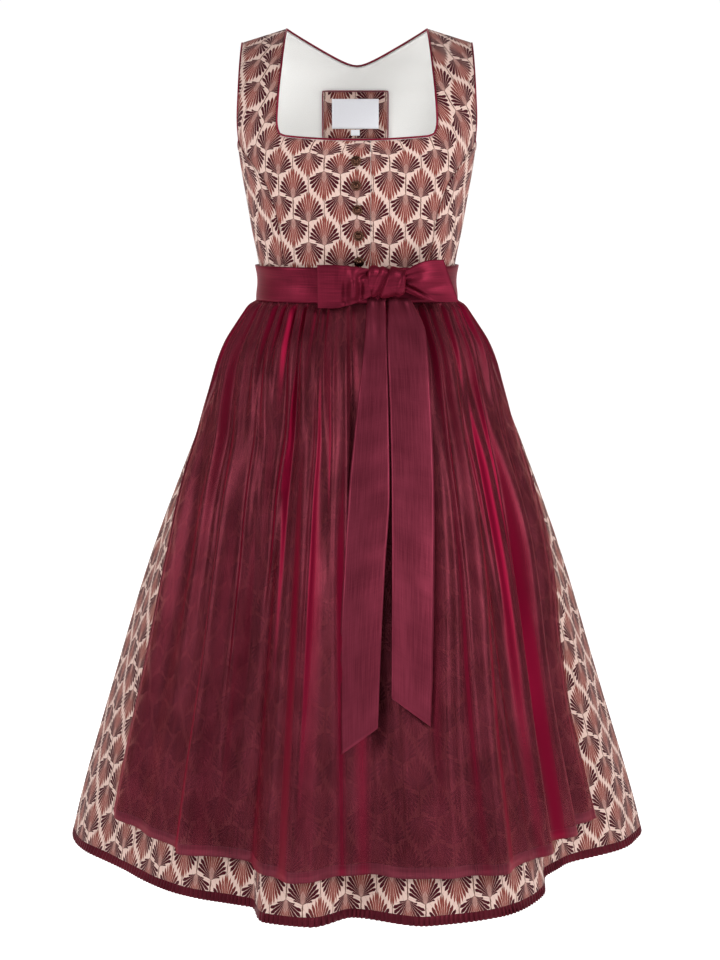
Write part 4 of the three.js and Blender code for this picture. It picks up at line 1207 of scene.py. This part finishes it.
SKIRT_TOP = -1
skirt_down = np.linspace(1, 0, SKIRT_ROWS + 1)[:, None] ** 1.25
skirt_heights = lerp(SKIRT_TOP, SKIRT_HEM, skirt_down)
for name, (first, last) in SKIRT_PANELS.items():
    columns = int(round((last - first) / DEGREES_PER_COLUMN))
    turn = np.linspace(first + SEAM_ANGLE, last - SEAM_ANGLE, columns + 1)[None, :]
    degrees = np.where(turn > 180, turn - 360, turn)
    out = skirt_pleat(degrees, skirt_heights) + skirt_crease(turn, skirt_heights)
    sheet = skirt_point(turn, skirt_heights, out)
    panel = cloth_wall(f"skirt_{name}_cloth", sheet, gathered_uv(sheet), SKIRT_CLOTH, UNLINED)
    declare(panel)

# Frill: a satin strip in small pressed pleats
FRILL_PLEATS_PER_DEGREE = 1.0
FRILL_ROWS = 6
FRILL_TUCK = 1.5
FRILL_BEHIND = 0.8
FRILL_COLUMNS_PER_DEGREE = 8
FRILL_CLOTH = 0.7
FRILL_CLOTH_PER_DEGREE = 5.6


def frill_wave(turn, rise):
    wandering = 55 * np.sin(np.radians(turn * 23)) + 30 * np.sin(np.radians(turn * 61))
    phase = 360 * FRILL_PLEATS_PER_DEGREE * turn + wandering
    leaning = np.sin(np.radians(phase) + 0.7 * np.sin(np.radians(phase)))
    return leaning * lerp(1.7, 0.5, rise) * (0.8 + 0.2 * np.sin(np.radians(turn * 37)))


for name, (first, last) in SKIRT_PANELS.items():
    columns = int((last - first) * FRILL_COLUMNS_PER_DEGREE)
    turn = np.linspace(first + 0.05, last - 0.05, columns + 1)[None, :]
    rise = np.linspace(0, 1, FRILL_ROWS + 1)[:, None]
    height = lerp(FRILL_HEM, SKIRT_HEM + FRILL_TUCK, rise)
    degrees = np.where(turn > 180, turn - 360, turn)
    follows = skirt_pleat(degrees, SKIRT_HEM) + skirt_crease(turn, SKIRT_HEM)
    sheet = skirt_point(turn, height, follows * rise + frill_wave(turn, rise) - FRILL_BEHIND * rise**4)
    uv = np.stack(np.broadcast_arrays(turn * FRILL_CLOTH_PER_DEGREE, height), -1)
    frill = cloth_wall(f"frill_{name}_cloth", sheet, uv, FRILL_CLOTH, [FRILL_SATIN] * 3)
    declare(frill)

# Apron
APRON_COLUMNS = 440
APRON_ROWS = 100
APRON_TOP = -0.5
APRON_FOLD_SHEEN_FULL = 0.4

apron_down = np.linspace(1, 0, APRON_ROWS + 1)[:, None] ** 1.3
apron_heights = lerp(APRON_TOP, APRON_HEM, apron_down)
apron_across = np.linspace(-1, 1, APRON_COLUMNS + 1)[None, :]
apron_sheet = apron_point(apron_across, apron_heights)
apron = cloth_wall("apron_cloth", apron_sheet, gathered_uv(apron_sheet), APRON_CLOTH, [APRON_SATIN] * 3)
# Painted sheen: the sides of the apron's folds, where the folded surface turns from the unfolded one, are
# stored as an attribute that paints them crimson
apron_unfolded = apron_point(apron_across, apron_heights, folded=0)
apron_facing = (sheet_normals(apron_sheet) * sheet_normals(apron_unfolded)).sum(axis=-1)
apron_fold_sheen = smooth((1 - apron_facing) / APRON_FOLD_SHEEN_FULL)
fold_sheen_layer = apron.data.attributes.new(FOLD_SHEEN, "FLOAT", "POINT")
fold_sheen_layer.data.foreach_set("value", np.tile(apron_fold_sheen.ravel(), 2))
declare(apron)

# Apron band and ties
BAND_LOW = -1
BAND_HIGH = 39
BAND_END = 101
BAND_OFF = 2.4
TIE_LOW = -1
TIE_HIGH = 41
TIE_NARROW = 20
TIE_UNDER = 2.6
TIE_OVER = 5.4
TIE_FACE = TIE_OVER + 1
TIE_COURSE = table(
    "turn off high",
    (103, TIE_UNDER, TIE_HIGH),
    (146, TIE_UNDER, TIE_HIGH),
    (167, TIE_UNDER, TIE_NARROW),
    (193, TIE_OVER, TIE_NARROW),
    (214, TIE_OVER, TIE_HIGH),
    (350, TIE_OVER, TIE_HIGH),
    (380, TIE_OVER, 37),
)


def along_tie(turn, column):
    return np.interp(turn, TIE_COURSE["turn"], TIE_COURSE[column])


def wrap_wrinkle(turn, share):
    """Long low wrinkles that run along a tie where it is pulled round the waist."""
    drift = share * 9 + 0.6 * np.sin(np.radians(turn * 2.2)) + 0.25 * np.sin(np.radians(turn * 7))
    strength = 0.35 + 0.35 * np.sin(np.radians(turn * 3.1) + 4 * share)
    return strength * np.sin(drift) * np.sin(math.pi * share) ** 0.5


band_turn = np.linspace(-BAND_END, BAND_END, 141)[None, :]
band_share = np.linspace(0, 1, 9)[:, None]
band_sheet = body_at_angle(band_turn, lerp(BAND_LOW, BAND_HIGH, band_share), BAND_OFF)
band = cloth_wall("apron_band_cloth", band_sheet, straight_uv(band_sheet), APRON_CLOTH, [TIE_SATIN] * 3)
declare(band)


def tie_sheet(side, last_turn, keeps_high):
    turn = np.linspace(TIE_COURSE["turn"][0], last_turn, 201)[None, :]
    share = np.linspace(0, 1, 13)[:, None]
    high = along_tie(turn, "high")
    lower = TIE_LOW + TIE_HIGH - high if keeps_high else TIE_LOW + 0 * turn
    upper = np.where(turn < 300, TIE_HIGH, high) if keeps_high else high
    out = along_tie(turn, "off") + wrap_wrinkle(turn, share)
    sheet = body_at_angle(side * turn, lerp(lower, upper, share), out)
    return sheet if side > 0 else sheet[:, ::-1]


# Bow
KNOT_ACROSS = 34.5
KNOT_HEIGHT = 25
KNOT_WIDE = 21.5
KNOT_DEEP = 10.5
KNOT_TALL = 18.5
KNOT_CLOTH = 0.6
TIE_ENDS_APART = 8
tie_at_knot = body_at_width(np.array(KNOT_ACROSS), np.array(TIE_HIGH), -1, TIE_FACE)
knot_seat = float(tie_at_knot[1]) - SEAM_GAP


def behind_knot(sign):
    return float(angle_of_width(KNOT_ACROSS + sign * TIE_ENDS_APART / 2, KNOT_HEIGHT))


for name, sheet in (
    ("tie_left", tie_sheet(1, 360 + behind_knot(-1), False)),
    ("tie_right", tie_sheet(-1, 360 - behind_knot(1), True)),
):
    tie = cloth_wall(f"{name}_cloth", sheet, straight_uv(sheet), APRON_CLOTH, [TIE_SATIN] * 3)
    declare(tie)

# Grooves where the knot's cloth is drawn together: place across at the top and at the bottom
KNOT_GROOVES = table(
    "top bottom before after depth",
    (-0.4, -0.85, 0.2, 0.09, 3.2),
    (0.12, -0.35, 0.3, 0.09, 5.5),
    (0.8, 0.52, 0.3, 0.1, 2.6),
)


def knot_sheet():
    """The end wrapped once round the loops: a short drum, drawn in at its open sides."""
    share = np.linspace(-1, 1, 61)[None, :]
    turn = np.linspace(-math.pi, math.pi, 73)[:, None]
    drum = lerp(0.62, 1, (1 - np.abs(share) ** 4) ** 0.5)
    up = np.sin(turn)
    depth = 0
    for top, bottom, before, after, most in zip(*KNOT_GROOVES.values()):
        away = share - lerp(bottom, top, (up + 1) / 2) - 0.07 * np.sin(2.5 * up)
        width = np.where(away < 0, before, after)
        depth = depth + most * np.exp(-((away / width) ** 2))
    x = KNOT_ACROSS + KNOT_WIDE * share
    y = knot_seat - KNOT_DEEP - KNOT_DEEP * np.cos(turn) * drum + depth * np.maximum(0, np.cos(turn)) ** 0.5
    tall = KNOT_TALL * drum * (1 - depth / 26)
    z = KNOT_HEIGHT + tall * power(up, 0.8) * (1 - 0.1 * share)
    return points(x, y, z)


knot = knot_sheet()
knot_piece = cloth_wall("bow_knot_cloth", knot, straight_uv(knot), KNOT_CLOTH, [TIE_SATIN] * 3)
declare(knot_piece)

# Loops go out from the knot in front, fold over and come back behind
LOOPS = {
    "bow_loop_right": dict(
        side=-1,
        top_end=-46,
        low_end=-45,
        top=44.5,
        low=-6,
        pinched=14,
        back_at_knot=-105,
        back_at_end=-103,
    ),
    "bow_loop_left": dict(
        side=1,
        top_end=101,
        low_end=119,
        top=50,
        low=0.5,
        pinched=7,
        back_at_knot=-103,
        back_at_end=-86,
    ),
}
LOOP_BULGE = 13
LOOP_FLAT = 2.2
CREASES_DEEPENED = 1.25

# Creases of the front of the loops: distance out, rise, their widths, lean and depth
LOOP_CREASES = {
    "bow_loop_right": table(
        "share rise wide tall lean depth",
        (0.52, 0.35, 0.08, 0.5, 0, 5.5),
        (0.38, 0.4, 0.05, 0.35, 0, -3),
        (0.26, 0.3, 0.07, 0.4, 0, 6.5),
        (0.22, 0.75, 0.2, 0.1, -0.6, 3),
        (0.05, 0.85, 0.2, 0.08, -0.2, 3.0),
        (0.45, 0.1, 0.3, 0.07, 0.2, 1.4),
    ),
    "bow_loop_left": table(
        "share rise wide tall lean depth",
        (0.2, 0.3, 0.28, 0.07, -0.7, 7),
        (0.34, 0.12, 0.3, 0.06, -0.5, -3),
        (0.14, 0.55, 0.22, 0.1, 0.3, 4.5),
        (0.22, 0.8, 0.3, 0.09, 0.1, 2.4),
        (0.6, 0.35, 0.3, 0.1, 0.2, 1.0),
    ),
}


def loop_sheet(name, side, top_end, low_end, top, low, pinched, back_at_knot, back_at_end):
    start = KNOT_ACROSS + side * (KNOT_WIDE + 0.6) - side * 9
    outwards = np.linspace(0, 1, 46)
    share = np.concatenate([outwards, outwards[::-1]])[None, :]
    layer = np.repeat([1, 0], 46)[None, :]
    rise = np.linspace(0, 1, 37)[:, None]
    hollow = LOOP_FLAT + LOOP_BULGE * np.sin(math.pi * share**0.8) * (1 - 0.25 * share)
    opened = np.sin(math.pi / 2 * np.minimum(1, share * 1.25))
    low_edge = lerp(KNOT_HEIGHT - pinched, low, opened)
    top_edge = lerp(KNOT_HEIGHT + pinched, top, opened)
    end = lerp(low_end, top_end, rise)
    bowed = 1 - 0.35 * (2 * rise - 1) ** 2 * (share < 1)
    creased = 0
    for at, up, wide, tall, lean, most in zip(*LOOP_CREASES[name].values()):
        beside = share - at
        above = rise - up - lean * beside
        creased = creased + CREASES_DEEPENED * most * np.exp(-((beside / wide) ** 2) - (above / tall) ** 2)
    y = lerp(back_at_knot, back_at_end, share) - layer * (hollow * bowed - creased)
    sheet = points(lerp(start, end, share), y, lerp(low_edge, top_edge, rise))
    return sheet if side > 0 else sheet[:, ::-1]


for name, sizes in LOOPS.items():
    sheet = loop_sheet(name, **sizes)
    loop = cloth_wall(f"{name}_cloth", sheet, straight_uv(sheet), APRON_CLOTH, [TIE_SATIN] * 3)
    declare(loop)

# Tails
TAILS = {
    "bow_tail_left": dict(
        edges=table(
            "height left right",
            (5, 36, 62),
            (-35, 35.5, 80),
            (-126, 38, 85.4),
            (-217, 39.5, 87.6),
            (-411, 38.5, 83.7),
            (-460, 38, 81.5),
        ),
        end_left=-428,
        end_right=-460,
        flat=(0.05, 0.47),
    ),
    "bow_tail_right": dict(
        edges=table(
            "height left right",
            (5, 12, 33),
            (-32, 10, 34),
            (-120, 0, 36),
            (-207, -9, 37),
            (-283, -14, 32),
            (-369, -18, 27),
            (-489, -17, 22),
        ),
        end_left=-489,
        end_right=-460,
        flat=(0.045, 0.5),
    ),
}
TAIL_TOP = 5
TAIL_GAP = 2
TAIL_BOW = 2
TAIL_SEAT = 0.5
TAIL_ROWS = 110
TAIL_COLUMNS = 16
tail_apron = apron_point(np.linspace(-1, 1, 121)[None, :], np.linspace(APRON_HEM, 0, 125)[:, None])


def apron_forward(left, right, height):
    """How far forward the apron stands between two widths, at a height."""
    row = tail_apron[int(np.clip(np.searchsorted(tail_apron[:, 60, 2], height), 0, 124))]
    across = row[(row[:, 0] > left - 12) & (row[:, 0] < right + 12)]
    return across[:, 1].min() - 1


def tail_sheet(edges, end_left, end_right, flat):
    rows = []
    tie_front = float(body_at_width(edges["left"][0], np.array(0.0), -1, TIE_FACE + TAIL_SEAT)[1])
    for down in np.linspace(1, 0, TAIL_ROWS + 1):
        share = np.linspace(0, 1, TAIL_COLUMNS + 1)
        height = lerp(TAIL_TOP, lerp(end_left, end_right, share), down)
        left, right = read(edges, "left", height), read(edges, "right", height)
        level = height.mean()
        over = tie_front if level > 0 else apron_forward(left.min(), right.max(), level) - TAIL_GAP
        gathered = smooth((level + 70) / 70)
        fold = 2.4 * gathered * np.cos(share * 3.1 * math.pi + 0.6)
        wave = 0.8 * np.sin(level / 37 + 2 * share)
        bow = TAIL_BOW * np.sin(math.pi * share) * smooth(-level / 12)
        rows.append(points(lerp(left, right, share), min(over, tie_front) - bow + fold + wave, height))
    sheet = np.array(rows)
    depth = sheet[..., 1]
    for _ in range(5):
        depth[1:-1] = (depth[:-2] + 2 * depth[1:-1] + depth[2:]) / 4
    return sheet


for name, sizes in TAILS.items():
    sheet = tail_sheet(**sizes)
    tail = cloth_wall(f"{name}_cloth", sheet, straight_uv(sheet), APRON_CLOTH, [TAIL_SATIN] * 3)
    declare(tail)

# Stitches: rows of thread ellipsoids laid along paths by a node tree
STITCH_LENGTH = 2.6
STITCH_GAP = 0.9
STITCH_THICK = 0.3


def stitch_tree():
    """Lays a short thread stitch at each step along every path of a mesh of edges."""
    tree = bpy.data.node_groups.new("stitch_rows", "GeometryNodeTree")
    tree.interface.new_socket("Geometry", in_out="INPUT", socket_type="NodeSocketGeometry")
    for name in ("Stitch length", "Gap", "Thickness"):
        tree.interface.new_socket(name, in_out="INPUT", socket_type="NodeSocketFloat")
    tree.interface.new_socket("Thread", in_out="INPUT", socket_type="NodeSocketMaterial")
    tree.interface.new_socket("Geometry", in_out="OUTPUT", socket_type="NodeSocketGeometry")
    given = add(tree, "NodeGroupInput")
    step = add(tree, MATH, [given.outputs["Stitch length"], given.outputs["Gap"]], operation="ADD")
    curves = add(tree, "GeometryNodeMeshToCurve", {"Mesh": given.outputs["Geometry"]})
    even = add(tree, "GeometryNodeResampleCurve", {"Curve": curves, "Length": step}, mode="LENGTH")
    ball = add(tree, "GeometryNodeMeshUVSphere", {"Segments": 6, "Rings": 5, "Radius": 0.5})
    tangent = add(tree, "GeometryNodeInputTangent")
    turned = add(tree, "FunctionNodeAlignRotationToVector", {"Vector": tangent}, axis="Z")
    thickness = given.outputs["Thickness"]
    size = add(tree, "ShaderNodeCombineXYZ", [thickness, thickness, given.outputs["Stitch length"]])
    placing = {"Points": even, "Instance": ball, "Rotation": turned, "Scale": size}
    laid = add(tree, "GeometryNodeInstanceOnPoints", placing)
    real = add(tree, "GeometryNodeRealizeInstances", [laid])
    finished = add(tree, "GeometryNodeSetMaterial", {"Geometry": real, "Material": given.outputs["Thread"]})
    add(tree, "NodeGroupOutput", [finished])
    return tree


def stitched(name, rows, thread):
    """One mesh of stitches for some rows, each an array of points in millimetres."""
    starts = np.cumsum([0] + [len(row) for row in rows])
    edges = []
    for row, start in zip(rows, starts):
        edges += [(i, i + 1) for i in range(start, start + len(row) - 1)]
    paths = bpy.data.meshes.new(f"{name}_paths")
    paths.from_pydata((np.concatenate(rows) - (0, 0, SHOULDER_HEIGHT)) * MM, edges, [])
    guide = bpy.data.objects.new(f"{name}_paths", paths)
    bpy.context.scene.collection.objects.link(guide)
    modifier = guide.modifiers.new("stitches", "NODES")
    modifier.node_group = STITCH_TREE
    inputs = [item for item in STITCH_TREE.interface.items_tree if item.in_out == "INPUT"]
    sockets = {item.name: item.identifier for item in inputs}
    modifier[sockets["Stitch length"]] = STITCH_LENGTH * MM
    modifier[sockets["Gap"]] = STITCH_GAP * MM
    modifier[sockets["Thickness"]] = STITCH_THICK * MM
    modifier[sockets["Thread"]] = thread
    evaluated = guide.evaluated_get(bpy.context.evaluated_depsgraph_get())
    mesh = bpy.data.meshes.new_from_object(evaluated)
    bpy.data.objects.remove(guide)
    made = bpy.data.objects.new(name, mesh)
    bpy.context.scene.collection.objects.link(made)
    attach(made, "root")


STITCH_TREE = stitch_tree()
HEM_STITCHES_UP = 11
SIDE_STITCHES_IN = 0.02
stitch_across = np.linspace(-0.985, 0.985, 700)
stitch_down = np.linspace(-14, APRON_HEM + 4, 220)
on_apron = APRON_CLOTH + 0.05
hem_stitch_heights = np.full(len(stitch_across), float(APRON_HEM + HEM_STITCHES_UP))
apron_rows = [apron_point(stitch_across, hem_stitch_heights, on_apron)]
for side in (-1, 1):
    edge_across = np.full(len(stitch_down), side * (1 - SIDE_STITCHES_IN))
    apron_rows.append(apron_point(edge_across, stitch_down, on_apron))
stitched("apron_hem_stitches", apron_rows, THREAD)

# Camera
CAMERA_DISTANCE = 2.8
CAMERA_HEIGHT = -0.1714
CAMERA_TILT = 2.699
CAMERA_LENS = 86.74
CAMERA_SHIFT = (0.0032, -0.2)

camera = bpy.data.objects.new("camera", bpy.data.cameras.new("camera"))
camera.location = (0, -CAMERA_DISTANCE, CAMERA_HEIGHT)
camera.rotation_euler = (math.radians(90 - CAMERA_TILT), 0, 0)
camera.data.lens = CAMERA_LENS
camera.data.sensor_width = 36
camera.data.shift_x, camera.data.shift_y = CAMERA_SHIFT
bpy.context.scene.collection.objects.link(camera)
bpy.context.scene.camera = camera

# Floor and light
FLOOR_BELOW_HEM = 0.45
FLOOR_SIZE = 30

floor_material, floor_tree = new_material("matt_white_paint")
floor_looks = {
    "Base Color": linear("#F7F7F7"),
    "Roughness": 0.9,
    "Emission Color": linear("#FFFFFF"),
    "Emission Strength": 0.7,
}
add(floor_tree, "ShaderNodeOutputMaterial", [add(floor_tree, PRINCIPLED, floor_looks)])
floor_mesh = bpy.data.meshes.new("floor")
floor_level = cad_low.z - FLOOR_BELOW_HEM
square = ((-1, -1), (1, -1), (1, 1), (-1, 1))
floor_corners = [(x * FLOOR_SIZE, y * FLOOR_SIZE, floor_level) for x, y in square]
floor_mesh.from_pydata(floor_corners, [], [(0, 1, 2, 3)])
floor_mesh.materials.append(floor_material)
floor = bpy.data.objects.new("floor", floor_mesh)
bpy.context.scene.collection.objects.link(floor)


def soft_light(name, place, size, watts):
    light = bpy.data.lights.new(name, "AREA")
    light.shape = "RECTANGLE"
    light.size, light.size_y = size
    light.energy = watts
    lamp = bpy.data.objects.new(name, light)
    lamp.location = place
    middle = (cad_low + cad_high) / 2
    lamp.rotation_euler = (middle - lamp.location).to_track_quat("-Z", "Y").to_euler()
    bpy.context.scene.collection.objects.link(lamp)


soft_light("key_light", (2.4, -1.9, 0.9), (1.4, 1.4), 54)
soft_light("fill_light", (-2.6, -1.5, 0.7), (1.2, 1.4), 36)
soft_light("back_light", (0, 2.4, 1.6), (2.0, 1.2), 8)
soft_light("button_light", (0.15, -3.0, 0.5), (0.4, 0.4), 7)

world = bpy.data.worlds.new("white_studio")
world.use_nodes = True
studio = world.node_tree
studio.nodes.clear()
direction = add(studio, "ShaderNodeSeparateXYZ", [add(studio, "ShaderNodeTexCoord").outputs["Generated"]])
brightness = add(studio, RAMP, [direction.outputs["Y"], 0.3, 0.9, 0.32, 1.02])
background = add(studio, "ShaderNodeBackground", {"Color": linear("#FFFFFF"), "Strength": brightness})
add(studio, "ShaderNodeOutputWorld", [background])
bpy.context.scene.world = world
bpy.context.scene.view_settings.view_transform = "Standard"
